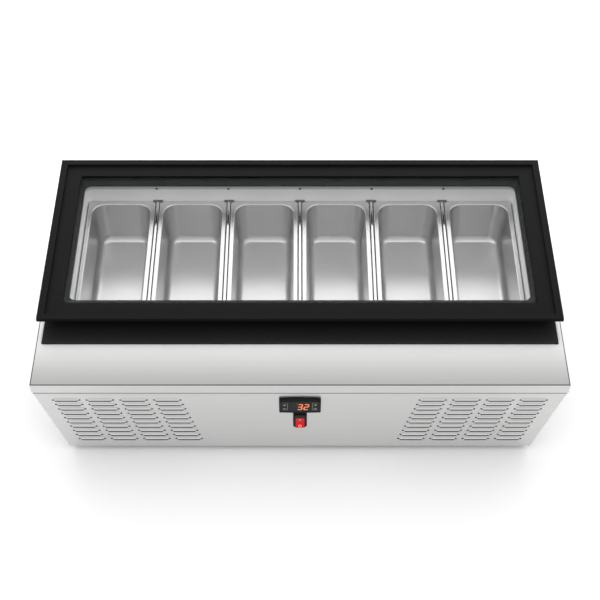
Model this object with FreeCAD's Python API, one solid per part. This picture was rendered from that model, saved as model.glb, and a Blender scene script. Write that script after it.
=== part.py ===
import FreeCAD
import Part
import math
import os

# Countertop freezer chest for six lift-out pans under a hinged glass lid.
# Millimetres, +Z up. While it is built, y = 0 is the cabinet's front face and z = 0 the
# surface it stands on; save() moves every piece so that the origin is the middle of the
# whole object's footprint.

Vector = FreeCAD.Vector
X_AXIS = Vector(1, 0, 0)
Y_AXIS = Vector(0, 1, 0)
Z_AXIS = Vector(0, 0, 1)

# ---- driving dimensions ----
# pans
pan_count = 6
pan_width = 165.0
pan_length = 360.0
pan_depth = 117.0
pan_rim_width = 10.0
pan_mouth_radius = 32.0
pan_rim_radius = 8.0
pan_draft = 9.0
pan_floor_radius = 20.0
pan_sheet = 1.0
pan_lip_drop = 4.0
pan_gap = 11.4
# cabinet
body_width = 1170.0
body_bottom_width = 1066.0
body_depth = 654.0
body_height = 247.0
foot_height = 18.0
lip_height = 30.0
sheet = 1.2
seam = 0.2
tray_sheet = 1.5
tray_flange = 25.0
# well
well_end_clear = 4.5
well_length_clear = 7.4
rear_wall = 58.6
well_below_pan = 13.0
well_taper = 16.0
well_upstand = 6.0
well_corner = 14.0
probe_height = 40.0
liner_sheet = 1.0
liner_flange = 12.0
front_wall = 50.0
pan_plane_drop = 53.0
rail_reach = 11.0
rail_drop = 22.0
rail_end_clear = 16.0
divider_width = 7.5
divider_deep = 12.0
divider_fit = 0.4
tab_width = 24.0
tab_thick = 2.4
tab_rise = 2.5
coil_turns = 5
coil_pitch = 22.0
coil_first = 12.0
coil_clear = 1.0
# black surround and lid
surround_front_y = 111.0
surround_inset = 12.0
surround_thick = 2.5
collar_front_y = 172.0
collar_inset = 28.0
collar_height = 20.0
collar_wall = 3.0
mouth_slope = 12.0
skirt_wall = 2.5
skirt_drop = 7.0
cap_opening_inset = 12.0
foam_fit = 0.5
lid_overhang = 26.0
lid_rear_inset = 14.0
lid_height = 44.5
lid_rim_width = 16.0
lid_rim_height = 8.5
lid_edge = 10.0
lid_step = 1.0
lid_body_clear = 2.0
lid_gasket_height = 4.0
gasket_margin = 4.0
gasket_rear_margin = 2.0
gasket_width = 13.0
window_front_y = 199.0
window_rear_lap = 2.3
window_side_clear = 3.5
glass_thick = 4.0
glass_lap = 8.0
glass_drop = 13.0
glass_fit = 0.5
glass_seal = 0.1
# hinges
hinge_x = 430.0
hinge_width = 60.0
pin_radius = 3.0
knuckle_radius = 6.0
hinge_fit = 0.05
hinge_leaf = 3.0
knuckle_gap = 0.4
hinge_post = 3.0
hinge_foot_clear = 2.0
hinge_leaf_clear = 6.0
pin_stand = 1.0
# louvres
louvre_columns = 4
louvre_rows = 10
louvre_length = 52.0
louvre_pitch_x = 74.0
louvre_pitch_z = 17.4
louvre_first_drop = 62.0
louvre_edge = 37.5
louvre_height = 8.0
louvre_proud = 3.4
louvre_relief = 1.7
louvre_relief_gap = 0.8
louvre_skin = 0.9
louvre_root = 0.4
louvre_slot_margin = 1.0
louvre_slot_drop = 2.5
panel_upstand = 8.0
# controls
controller_width = 92.0
controller_tall = 48.0
controller_drop = 50.0
controller_proud = 8.0
controller_deep = 58.0
controller_crown = 10.0
controller_lap = 4.0
controller_case_inset = 7.0
display_width = 50.0
display_top = 12.0
display_bottom = 8.0
display_deep = 1.5
display_fit = 0.2
button_size = 8.0
button_x = 34.0
button_rise = 7.0
button_deep = 2.4
button_travel = 0.6
button_fit = 0.3
button_well = 3.5
button_edge = 0.4
switch_width = 31.0
switch_tall = 57.0
switch_drop = 108.0
switch_proud = 3.0
switch_lap = 3.0
switch_corner = 5.0
switch_hood = 3.0
switch_hood_gap = 2.0
switch_deep = 30.0
axle_radius = 2.0
axle_fit = 0.06
axle_grip = 1.5
rocker_width = 20.0
rocker_tall = 31.0
rocker_drop = 125.0
rocker_proud = 9.0
rocker_tilt = 7.0
rocker_pivot_depth = 4.0
rocker_dish = 3.0
rocker_side_gap = 0.4
rocker_end_gap = 1.2
rocker_room = 14.0
rocker_heel = 3.5
rocker_heel_half = 6.0
rocker_shoulder = 3.0
# running gear
compressor_x = 215.0
compressor_back = 4.0
compressor_radius = 62.0
compressor_tall = 150.0
compressor_lift = 14.0
can_share = 0.62
seam_share = 0.55
dome_flat = 0.8
seam_ring_width = 4.0
seam_ring_tall = 5.0
base_plate = (170.0, 110.0, 3.0)
grommet_spread = (74.0, 42.0)
grommet_radius = 10.0
grommet_neck = 4.9
grommet_hole = 5.0
relay_width = 52.0
relay_deep = 26.0
relay_low = 45.0
relay_tall = 55.0
condenser_x = -390.0
condenser_thick = 44.0
condenser_front = 16.0
condenser_rear_clear = 30.0
condenser_lift = 6.0
condenser_tall = 168.0
fin_count = 24
fin_thick = 1.0
fin_fit = 0.15
row_count = 7
row_first = 12.0
row_pitch = 24.0
row_overrun = 9.0
row_bend = 6.5
fan_radius = 68.0
fan_forward = 30.0
fan_tip_gap = 3.0
hub_radius = 16.0
hub_long = 20.0
blade_count = 5
blade_thick = 2.0
blade_wide = 34.0
blade_pitch = 28.0
blade_root = 12.0
shroud_sheet = 1.5
shroud_reach = 12.0
shroud_margin = 4.0
shroud_tall = 176.0
motor_radius = 34.0
motor_long = 42.0
motor_gap = 24.0
shaft_radius = 3.0
shaft_fit = 0.05
bracket_sheet = 2.0
bracket_half = 20.0
bracket_foot = 30.0
tube_radius = 3.0
tube_join = 0.5
tube_high = 196.0
tube_bend = 7.0
discharge_low = 60.0
discharge_side = 28.0
discharge_back = 10.0
suction_wall = 1.0
suction_x = 40.0
suction_back = 22.0
suction_side = 40.0
suction_low = 34.0
suction_bend = 10.0
drier_radius = 10.0
drier_long = 70.0
drier_nose = 12.0
drier_x = -20.0
drier_back = 28.0
drier_high = 60.0
probe_x = -150.0
probe_radius = 3.0
probe_long = 30.0
probe_lead = 1.6
probe_room = 5.0
probe_gap = 0.3
wiring_box_x = (-130.0, -60.0)
wiring_box_deep = 45.0
wiring_box_z = (95.0, 165.0)
# back
inlet_proud = 3.0
inlet_width = 50.0
inlet_tall = 28.0
inlet_side = 90.0
inlet_high = 60.0
inlet_case = (29.0, 23.0, 20.0)
inlet_well = (25.0, 18.0, 16.0)
inlet_blade = (2.0, 5.0)
inlet_blades = ((-7.0, -2.5), (0.0, 2.5), (7.0, -2.5))
inlet_hole_margin = (10.0, 2.0)
inlet_foam_margin = (7.0, 1.0)
# feet and fasteners
foot_inset = 60.0
foot_radius = 20.0
foot_bottom_radius = 17.0
stud_radius = 4.0
stud_long = 14.0
stud_sunk = 4.0
screw_head_radius = 4.0
screw_crown_radius = 2.8
screw_head_tall = 1.3
screw_radius = 1.6
screw_long = 8.0
rear_screw_columns = 5
rear_screw_low = 12.0
rear_screw_high = 14.0
rear_screw_inset = 22.0
hinge_screw_xs = (-20.0, 0.0, 20.0)
hinge_screw_back = 11.0

# ---- places that follow ----
top_z = foot_height + body_height
half = body_width / 2
half_bottom = body_bottom_width / 2
lip_z = top_z - lip_height
slope = (half - half_bottom) / (body_height - lip_height)
pitch = pan_width + pan_gap
well_half = (pan_count * pitch - pan_gap) / 2 + well_end_clear
well_rear_y = body_depth - rear_wall
well_front_y = well_rear_y - pan_length - well_length_clear
well_mid_y = (well_rear_y + well_front_y) / 2
rim_z = top_z - pan_plane_drop
ledge_z = rim_z - pan_lip_drop
well_floor_z = rim_z - pan_depth - well_below_pan
liner_top_z = top_z + well_upstand
bulkhead_y = well_front_y - front_wall
collar_half = half - collar_inset
lid_front_y = collar_front_y - lid_overhang
lid_rear_y = body_depth - lid_rear_inset
lid_half = collar_half + lid_overhang
collar_rear_y = lid_rear_y - lid_overhang
collar_top_z = top_z + collar_height
lid_top_z = top_z + lid_height
lid_base_z = collar_top_z + lid_gasket_height
band_z = lid_top_z - lid_rim_height
edge_z = lid_top_z - lid_edge
window_half = well_half + window_side_clear
window_rear_y = well_rear_y - window_rear_lap
hinge_y = lid_rear_y + knuckle_radius
hinge_z = edge_z - knuckle_radius
panel_y = sheet + seam
inner_y = panel_y + sheet
panel_half = half - sheet - seam
panel_top_z = lip_z + panel_upstand
cavity_inset = 2 * sheet + 2 * seam
floor_z = foot_height + tray_sheet
ceiling_z = top_z - sheet - seam
compressor_y = bulkhead_y / 2 + compressor_back
controller_top_z = top_z - controller_drop
controller_low_z = controller_top_z - controller_tall
controller_face_y = panel_y - controller_proud
switch_top_z = top_z - switch_drop
switch_low_z = switch_top_z - switch_tall
rocker_pivot = Vector(0, panel_y + rocker_pivot_depth, top_z - rocker_drop - rocker_tall / 2)
glass_z = lid_top_z - glass_drop - glass_thick
leaf_foot_z = top_z + surround_thick
inlet_x = half_bottom - inlet_side
inlet_z = foot_height + inlet_high
front_y = -(body_depth + inlet_proud - rocker_proud) / 2
pan_xs = [(i - (pan_count - 1) / 2) * pitch for i in range(pan_count)]
bar_xs = [x + pitch / 2 for x in pan_xs[:-1]]
collar = (-collar_half, collar_half, collar_front_y, collar_rear_y)
cap_opening = (cap_opening_inset - collar_half, collar_half - cap_opening_inset,
               collar_front_y + cap_opening_inset, collar_rear_y - cap_opening_inset)
lid_outline = (-lid_half, lid_half, lid_front_y, lid_rear_y)
window = (-window_half, window_half, window_front_y, window_rear_y)
button_mid_z = (controller_top_z + controller_low_z) / 2
button_places = [(name, side * button_x, button_mid_z + row * button_rise)
                 for name, side, row in (("up", -1, 1), ("down", -1, -1), ("set", 1, 1), ("light", 1, -1))]
condenser_box = (condenser_x, condenser_x + condenser_thick,
                 condenser_front, bulkhead_y - condenser_rear_clear)
tube_rows = [(condenser_x + condenser_thick / 2, floor_z + condenser_lift + row_first + row * row_pitch)
             for row in range(row_count)]
fan_centre = Vector(condenser_box[1] + fan_forward, (condenser_box[2] + condenser_box[3]) / 2,
                    floor_z + condenser_lift + condenser_tall / 2)


def save(name, shape):
    """Moves a finished piece to the object's own origin and writes it."""
    placed = shape.copy()
    placed.translate(Vector(0, front_y, 0))
    placed.exportStep("parts/" + name + ".step")
    print(name, len(placed.Solids), round(placed.Volume / 1000, 1), placed.isValid())


# ---- shapes that several pieces use ----
def block(x0, x1, y0, y1, z0, z1):
    return Part.makeBox(x1 - x0, y1 - y0, z1 - z0, Vector(x0, y0, z0))


def rod(radius, length, start, direction):
    return Part.makeCylinder(radius, length, start, direction)


def ring(outer, inner, z0, z1):
    """A rectangular frame; outer and inner are (x0, x1, y0, y1)."""
    return block(*outer, z0, z1).cut(block(*inner, z0 - 1, z1 + 1))


def grown(outline, margin):
    x0, x1, y0, y1 = outline
    return (x0 - margin, x1 + margin, y0 - margin, y1 + margin)


def prism(points, y0, y1):
    """Extrudes an outline of (x, z) points from y0 to y1."""
    corners = [Vector(x, y0, z) for x, z in points]
    face = Part.Face(Part.makePolygon(corners + corners[:1]))
    return face.extrude(Vector(0, y1 - y0, 0))


def rounded_wire(width, length, radius, z, cx=0.0, cy=0.0):
    """A rectangle with round corners, seen from above."""
    hx = width / 2 - radius
    hy = length / 2 - radius
    edges = []
    corners = [(hx, hy, 0), (-hx, hy, 90), (-hx, -hy, 180), (hx, -hy, 270)]
    for i, (x, y, turn) in enumerate(corners):
        points = []
        for step in (0, 45, 90):
            angle = math.radians(turn + step)
            points.append(Vector(cx + x + radius * math.cos(angle), cy + y + radius * math.sin(angle), z))
        edges.append(Part.Arc(*points).toShape())
        nx, ny, nturn = corners[(i + 1) % len(corners)]
        angle = math.radians(nturn)
        following = Vector(cx + nx + radius * math.cos(angle), cy + ny + radius * math.sin(angle), z)
        edges.append(Part.LineSegment(points[-1], following).toShape())
    return Part.Wire(edges)


def rounded_plate(width, length, radius, z0, z1, cx=0.0, cy=0.0):
    face = Part.Face(rounded_wire(width, length, radius, z0, cx, cy))
    return face.extrude(Vector(0, 0, z1 - z0))


def pipe(points, radius, bend):
    """Straight runs joined by tangent arcs, as one round solid."""
    edges = []
    start = points[0]
    for before, corner, after in zip(points, points[1:], points[2:]):
        run_in = (corner - before).normalize()
        run_out = (after - corner).normalize()
        turn = run_in.getAngle(run_out)
        back = bend * math.tan(turn / 2)
        arc_start = corner - run_in * back
        arc_end = corner + run_out * back
        bisector = (run_out - run_in).normalize()
        centre = corner + bisector * (bend / math.cos(turn / 2))
        middle = centre - bisector * bend
        edges.append(Part.LineSegment(start, arc_start).toShape())
        edges.append(Part.Arc(arc_start, middle, arc_end).toShape())
        start = arc_end
    edges.append(Part.LineSegment(start, points[-1]).toShape())
    path = Part.Wire(edges)
    direction = (points[1] - points[0]).normalize()
    profile = Part.Wire(Part.makeCircle(radius, points[0], direction))
    return path.makePipeShell([profile], True, True)


def side_x(z):
    """Half-width of the cabinet's outer face at a height."""
    return half - max(0.0, lip_z - z) * slope


def section(inset, z0, z1):
    """The cabinet's cross-section between two heights, drawn in by an inset."""
    points = [(-side_x(z0) + inset, z0), (side_x(z0) - inset, z0)]
    if z0 < lip_z < z1:
        points += [(half - inset, lip_z), (half - inset, z1), (inset - half, z1), (inset - half, lip_z)]
    else:
        points += [(side_x(z1) - inset, z1), (-side_x(z1) + inset, z1)]
    return points


# ---- cabinet ----
def louvre_places():
    """Lower middle of every louvre on one half, with rows that follow the slanted edge."""
    for row in range(louvre_rows):
        z = top_z - louvre_first_drop - row * louvre_pitch_z
        for column in range(louvre_columns):
            outer = side_x(z) - louvre_edge - column * louvre_pitch_x
            yield outer - louvre_length / 2, z


def louvre_hood():
    """One pressed hood: a curved shell open downwards, with closed ends."""
    belly_share = 2.2
    belly_height = 0.62

    def wedge(shrink, reach):
        tall = louvre_height - shrink
        out = panel_y - louvre_proud + shrink
        back = panel_y + louvre_root
        belly = Vector(-reach, (back + belly_share * out) / (1 + belly_share), tall * belly_height)
        arc = Part.Arc(Vector(-reach, back, tall), belly, Vector(-reach, out, 0))
        bottom = Part.LineSegment(Vector(-reach, out, 0), Vector(-reach, back, 0))
        rear = Part.LineSegment(Vector(-reach, back, 0), Vector(-reach, back, tall))
        outline = Part.Wire([arc.toShape(), bottom.toShape(), rear.toShape()])
        return Part.Face(outline).extrude(Vector(2 * reach, 0, 0))

    end = louvre_length / 2
    return wedge(0.0, end).cut(wedge(louvre_skin, end - louvre_skin))


def front_panel():
    panel = prism(section(sheet + seam, foot_height, panel_top_z), panel_y, inner_y)
    hood = louvre_hood()
    through = inner_y + 1
    reach = louvre_length / 2 - louvre_slot_margin
    relief_reach = louvre_length / 2 + louvre_relief + louvre_relief_gap
    hoods = []
    cuts = [controller_hole(), switch_hole()]
    for x, z in louvre_places():
        for side in (-1, 1):
            copy = hood.copy()
            copy.translate(Vector(side * x, 0, z))
            hoods.append(copy)
            slot_top = z + louvre_height - louvre_slot_drop
            cuts.append(block(side * x - reach, side * x + reach, 0, through, z, slot_top))
            for end in (-1, 1):
                place = Vector(side * x + end * relief_reach, 0, z + louvre_relief)
                cuts.append(rod(louvre_relief, through, place, Y_AXIS))
    panel = panel.cut(Part.makeCompound(cuts))
    return panel.fuse(hoods).removeSplitter()


def controller_hole():
    """The panel's cut-out behind the controller's bezel, which laps it all round."""
    reach = controller_width / 2 - controller_lap
    low = controller_low_z + controller_lap
    return block(-reach, reach, -1, inner_y + 1, low, controller_top_z - controller_lap)


def switch_hole():
    reach = switch_width / 2 - switch_lap
    return block(-reach, reach, -1, inner_y + 1, switch_low_z + switch_lap, switch_top_z - switch_lap)


def side_panel(side):
    low_x = side_x(foot_height) - sheet - seam
    outer = [(low_x, foot_height), (panel_half, lip_z), (panel_half, panel_top_z)]
    inner = [(x - sheet, z) for x, z in reversed(outer)]
    return prism([(side * x, z) for x, z in outer + inner], inner_y, body_depth - inner_y)


def rear_panel():
    outline = section(sheet + seam, foot_height, panel_top_z)
    panel = prism(outline, body_depth - inner_y, body_depth - panel_y)
    reach = inlet_width / 2 - inlet_hole_margin[0]
    tall = inlet_tall / 2 - inlet_hole_margin[1]
    return panel.cut(block(inlet_x - reach, inlet_x + reach, body_depth - inner_y - 1, body_depth + 1,
                           inlet_z - tall, inlet_z + tall))


def top_cap():
    """The top sheet, folded down all round, with the opening for the well."""
    skin = block(-half, half, 0, body_depth, lip_z, top_z)
    skin = skin.cut(block(sheet - half, half - sheet, sheet, body_depth - sheet, lip_z - 1, top_z - sheet))
    return skin.cut(block(*cap_opening, lip_z, top_z + 1))


def base_tray():
    top = floor_z - tray_sheet + tray_flange
    fit = inner_y + seam
    outer = prism(section(cavity_inset, foot_height, top), fit, body_depth - fit)
    inner = prism(section(cavity_inset + tray_sheet, floor_z, top + 1),
                  fit + tray_sheet, body_depth - fit - tray_sheet)
    return outer.cut(inner)


def feet():
    """Four tapered rubber feet, each with a stud through the tray."""
    shapes = []
    for side in (-1, 1):
        for y in (foot_inset, body_depth - foot_inset):
            place = Vector(side * (half_bottom - foot_inset), y, 0)
            pad = Part.makeCone(foot_bottom_radius, foot_radius, foot_height, place, Z_AXIS)
            stud = rod(stud_radius, stud_long, place + Z_AXIS * (foot_height - stud_sunk), Z_AXIS)
            shapes.append(pad.fuse(stud))
    return shapes


def bulkhead():
    inset = cavity_inset + tray_sheet + seam
    return prism(section(inset, floor_z, ceiling_z), bulkhead_y - sheet, bulkhead_y)


# ---- well ----
def well_draw(z):
    """How far the well's ends have come in at a height below the rim plane."""
    return well_taper * max(0.0, rim_z - z) / (rim_z - well_floor_z)


def well_outline(margin, radius, z):
    width = 2 * (well_half - well_draw(z) + margin)
    length = well_rear_y - well_front_y + 2 * margin
    return rounded_wire(width, length, radius, z, 0.0, well_mid_y)


def well_block(margin, z0, z1):
    """The well's inside as a tapered solid, grown outwards; it narrows below the rim plane."""
    radius = well_corner + margin
    lower = Part.makeLoft([well_outline(margin, radius, z0), well_outline(margin, radius, rim_z)], True, True)
    upper = Part.Face(well_outline(margin, radius, rim_z)).extrude(Vector(0, 0, z1 - rim_z))
    return lower.fuse(upper).removeSplitter()


def well_liner():
    outer = well_block(liner_sheet, well_floor_z - liner_sheet, liner_top_z)
    flange_face = Part.Face(well_outline(liner_flange, well_corner, liner_top_z))
    flange = flange_face.extrude(Vector(0, 0, -liner_sheet))
    return outer.fuse(flange).cut(well_block(0.0, well_floor_z, liner_top_z + 1)).removeSplitter()


def evaporator():
    """A coil of tube round the outside of the liner, one turn above another."""
    shapes = []
    off = liner_sheet + tube_radius + coil_clear
    for turn in range(coil_turns):
        z = well_floor_z + coil_first + turn * coil_pitch
        wire = well_outline(off, well_corner + off, z)
        start = wire.Edges[1].Vertexes[0].Point
        along = wire.Edges[1].tangentAt(wire.Edges[1].FirstParameter)
        path = Part.Wire(wire.Edges[1:] + wire.Edges[:1])
        profile = Part.Wire(Part.makeCircle(tube_radius, start, along))
        shapes.append(path.makePipeShell([profile], True, True))
    return shapes


def insulation(coil):
    """Foam that fills the cabinet behind the bulkhead, round the well and up through the cap."""
    front = bulkhead_y + foam_fit
    rear = body_depth - inner_y - seam - tray_sheet - foam_fit
    outline = section(cavity_inset + tray_sheet + seam, floor_z + foam_fit, ceiling_z)
    foam = prism(outline, front, rear)
    x0, x1, y0, y1 = grown(cap_opening, -foam_fit)
    foam = foam.fuse(block(x0, x1, max(y0, front), y1, ceiling_z - 1, liner_top_z - liner_sheet))
    foam = foam.cut(well_block(liner_sheet, well_floor_z - liner_sheet, liner_top_z + 1))
    reach = inlet_width / 2 - inlet_foam_margin[0]
    tall = inlet_tall / 2 + inlet_foam_margin[1]
    inlet_room = block(inlet_x - reach, inlet_x + reach, body_depth - inlet_case[2] - inlet_hole_margin[0],
                       body_depth, inlet_z - tall, inlet_z + tall)
    return foam.cut(Part.makeCompound(coil + [probe_pocket(), inlet_room]))


def support_rail(wall, step):
    """A ledge of folded sheet along the front or rear wall that the pan rims rest on."""
    ends = well_half - rail_end_clear
    flange_ends = ends - rail_end_clear / 2
    y0, y1 = sorted((wall, wall + step * rail_reach))
    ledge = block(-ends, ends, y0, y1, ledge_z - liner_sheet, ledge_z)
    y0, y1 = sorted((wall, wall + step * liner_sheet))
    flange = block(-flange_ends, flange_ends, y0, y1, ledge_z - rail_drop, ledge_z)
    return ledge.fuse(flange).removeSplitter()


def divider_bar(x):
    """A narrow folded bar between two pans, with an upright tab at each end that stands on a rail."""
    bar_half = divider_width / 2
    tab_half = tab_width / 2
    y0 = well_front_y + divider_fit
    y1 = well_rear_y - divider_fit
    web0 = y0 + rail_reach + divider_fit
    web1 = y1 - rail_reach - divider_fit
    low = ledge_z - divider_deep
    bar = block(x - bar_half, x + bar_half, web0, web1, low, rim_z)
    hollow_half = bar_half - sheet
    hollow = block(x - hollow_half, x + hollow_half, web0 + sheet, web1 - sheet, low - 1, rim_z - sheet)
    top = block(x - bar_half, x + bar_half, y0, y1, ledge_z, rim_z)
    tabs = [block(x - tab_half, x + tab_half, y, y + tab_thick, ledge_z, rim_z + tab_rise)
            for y in (y0, y1 - tab_thick)]
    return bar.fuse([top] + tabs).cut(hollow).removeSplitter()


def pan(x):
    """A deep-drawn pan with a flat rim, turned down at its edge."""
    corner_draft = 4.0

    def bowl(shrink, z1):
        width = pan_width - 2 * pan_rim_width - 2 * shrink
        length = pan_length - 2 * pan_rim_width - 2 * shrink
        z0 = rim_z - pan_depth + shrink
        radius = pan_mouth_radius - shrink
        top = rounded_wire(width, length, radius, rim_z, x, well_mid_y)
        low = rounded_wire(width - 2 * pan_draft, length - 2 * pan_draft, radius - corner_draft, z0,
                           x, well_mid_y)
        solid = Part.makeLoft([low, top], True, True)
        floor = [edge for edge in solid.Edges if edge.BoundBox.ZMax < z0 + 0.01]
        solid = solid.makeFillet(pan_floor_radius - shrink, floor)
        if z1 > rim_z:
            solid = solid.fuse(Part.Face(top).extrude(Vector(0, 0, z1 - rim_z)))
        return solid

    edge_z0 = rim_z - pan_lip_drop
    rim = rounded_plate(pan_width, pan_length, pan_rim_radius, edge_z0, rim_z, x, well_mid_y)
    under = rounded_plate(pan_width - 2 * pan_sheet, pan_length - 2 * pan_sheet, pan_rim_radius - pan_sheet,
                          edge_z0 - 1, rim_z - pan_sheet, x, well_mid_y)
    shell = bowl(0.0, rim_z).fuse(rim.cut(under))
    return shell.cut(bowl(pan_sheet, rim_z + 1)).removeSplitter()


# ---- surround and lid ----
def surround_collar():
    """Black frame on the cabinet's top: a flat plate, a hollow collar and a sloping mouth."""
    inner = grown(collar, -collar_wall)
    plate_half = half - surround_inset
    plate = ring((-plate_half, plate_half, surround_front_y, body_depth - surround_inset), inner,
                 top_z, leaf_foot_z)
    neck = ring(collar, inner, top_z, collar_top_z)
    shelf = block(*collar, collar_top_z - collar_wall, collar_top_z)

    def funnel(margin):
        low = well_outline(margin - skirt_wall, well_corner + margin - skirt_wall, liner_top_z)
        high = well_outline(margin + mouth_slope, well_corner + margin + mouth_slope, collar_top_z)
        return Part.makeLoft([low, high], True, True)

    skirt_z = liner_top_z - skirt_drop
    skirt = Part.Face(well_outline(0.0, well_corner, skirt_z)).extrude(Vector(0, 0, skirt_drop))
    throat_wire = well_outline(-skirt_wall, well_corner - skirt_wall, skirt_z - 1)
    throat = Part.Face(throat_wire).extrude(Vector(0, 0, skirt_drop + 2))
    frame = plate.fuse([neck, shelf, funnel(collar_wall)]).fuse(skirt)
    return frame.cut(funnel(0.0)).cut(throat).removeSplitter()


def lid_frame():
    """Moulded frame with a raised outer rim and a groove that holds the glass."""
    rim = ring(lid_outline, grown(lid_outline, -lid_rim_width), edge_z, lid_top_z)
    band = ring(grown(lid_outline, -lid_step), window, edge_z, band_z)
    body = ring(grown(lid_outline, lid_body_clear - lid_overhang), window, lid_base_z, band_z)
    groove = block(*grown(window, glass_lap + glass_fit), glass_z - glass_seal,
                   glass_z + glass_thick + glass_seal)
    return rim.fuse([band, body]).cut(groove).removeSplitter()


def lid_glass():
    return block(*grown(window, glass_lap), glass_z, glass_z + glass_thick)


def lid_gasket():
    """A soft seal under the lid frame that rests on the collar."""
    x0, x1, y0, y1 = grown(collar, -gasket_margin)
    outer = (x0, x1, y0, y1 + gasket_margin - gasket_rear_margin)
    return ring(outer, grown(outer, -gasket_width), collar_top_z, lid_base_z)


def hinge_cabinet_leaf(x):
    """A foot on the surround with an upright and two outer knuckles."""
    width = hinge_width / 2
    knuckle = hinge_width / 3 - knuckle_gap
    foot = block(x - width, x + width, collar_rear_y + hinge_foot_clear, hinge_y + hinge_post,
                 leaf_foot_z, leaf_foot_z + hinge_leaf)
    shapes = []
    for x0 in (x - width, x + width - knuckle):
        shapes.append(block(x0, x0 + knuckle, hinge_y - hinge_post, hinge_y + hinge_post,
                            leaf_foot_z, hinge_z))
        shapes.append(rod(knuckle_radius, knuckle, Vector(x0, hinge_y, hinge_z), X_AXIS))
    leaf = foot.fuse(shapes).removeSplitter()
    bore_start = Vector(x - width - 1, hinge_y, hinge_z)
    return leaf.cut(rod(pin_radius + hinge_fit, hinge_width + 2, bore_start, X_AXIS))


def hinge_lid_leaf(x):
    """A plate under the lid's overhang with the middle knuckle."""
    width = hinge_width / 2
    middle = hinge_width / 6
    under = edge_z - hinge_leaf
    plate_y = lid_rear_y - lid_overhang + hinge_leaf_clear
    plate = block(x - width, x + width, plate_y, hinge_y - knuckle_radius - 1, under, edge_z)
    tongue = block(x - middle, x + middle, plate_y, hinge_y, under, edge_z)
    barrel = rod(knuckle_radius, 2 * middle, Vector(x - middle, hinge_y, hinge_z), X_AXIS)
    bore = rod(pin_radius + hinge_fit, 2 * middle + 2, Vector(x - middle - 1, hinge_y, hinge_z), X_AXIS)
    return plate.fuse([tongue, barrel]).cut(bore).removeSplitter()


def hinge_pin(x):
    start = Vector(x - hinge_width / 2 - pin_stand, hinge_y, hinge_z)
    return rod(pin_radius, hinge_width + 2 * pin_stand, start, X_AXIS)


# ---- controls ----
def controller_housing():
    """Bezel with a crowned top, a display recess and four button wells, and the case behind."""
    reach = controller_width / 2
    out = controller_face_y
    top = controller_top_z
    low = controller_low_z
    crown = Part.Arc(Vector(-reach, panel_y, top),
                     Vector(-reach, panel_y - controller_proud * 0.75, top - controller_crown * 0.3),
                     Vector(-reach, out, top - controller_crown))
    chin = 2.0
    outline = [Vector(-reach, out, top - controller_crown), Vector(-reach, out, low + chin),
               Vector(-reach, out + chin, low), Vector(-reach, panel_y, low), Vector(-reach, panel_y, top)]
    bezel = Part.Face(Part.Wire([crown.toShape()] + Part.makePolygon(outline).Edges))
    bezel = bezel.extrude(Vector(2 * reach, 0, 0))
    case_reach = reach - controller_case_inset
    case = block(-case_reach, case_reach, panel_y, panel_y + controller_deep,
                 low + controller_lap + 1, top - controller_lap - 1)
    half_display = display_width / 2
    cuts = [block(-half_display, half_display, out - 1, out + display_deep,
                  low + display_bottom, top - display_top)]
    room = button_size / 2 + button_fit
    for name, x, z in button_places:
        cuts.append(block(x - room, x + room, out - 1, out + button_well, z - room, z + room))
    return bezel.fuse(case).removeSplitter().cut(Part.makeCompound(cuts))


def display_lens():
    reach = display_width / 2 - display_fit
    return block(-reach, reach, controller_face_y + button_fit, controller_face_y + display_deep,
                 controller_low_z + display_bottom + display_fit,
                 controller_top_z - display_top - display_fit)


def controller_button(x, z):
    front = controller_face_y - button_travel
    reach = button_size / 2
    key = block(x - reach, x + reach, front, controller_face_y + button_deep, z - reach, z + reach)
    edges = [edge for edge in key.Edges if edge.BoundBox.YMax < front + 0.01]
    return key.makeFillet(button_edge, edges)


def rocker_switch_housing():
    """Bezel with cut lower corners, a hood over the rocker, the case behind and the rocker's axle."""
    reach = switch_width / 2
    out = panel_y - switch_proud
    left = [(-reach, switch_top_z), (-reach, switch_low_z + switch_corner),
            (switch_corner - reach, switch_low_z)]
    outline = left + [(-x, z) for x, z in reversed(left)]
    bezel = prism(outline, out, panel_y)
    hood = block(switch_lap - reach, reach - switch_lap, out - switch_hood, panel_y,
                 top_z - rocker_drop + switch_hood_gap, switch_top_z - switch_lap)
    case_reach = reach - switch_lap - 1
    case = block(-case_reach, case_reach, panel_y, panel_y + switch_deep,
                 switch_low_z + switch_lap + 1, switch_top_z - switch_lap - 1)
    wide = rocker_width / 2 + rocker_side_gap
    tall = rocker_tall / 2 + rocker_end_gap
    room = block(-wide, wide, out - 2 * rocker_proud, rocker_pivot.y + rocker_room,
                 rocker_pivot.z - tall, rocker_pivot.z + tall)
    axle_long = rocker_width + 2 * axle_grip
    axle = rod(axle_radius, axle_long, rocker_pivot - X_AXIS * (axle_long / 2), X_AXIS)
    return bezel.fuse([hood, case]).removeSplitter().cut(room).fuse(axle).removeSplitter()


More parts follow.
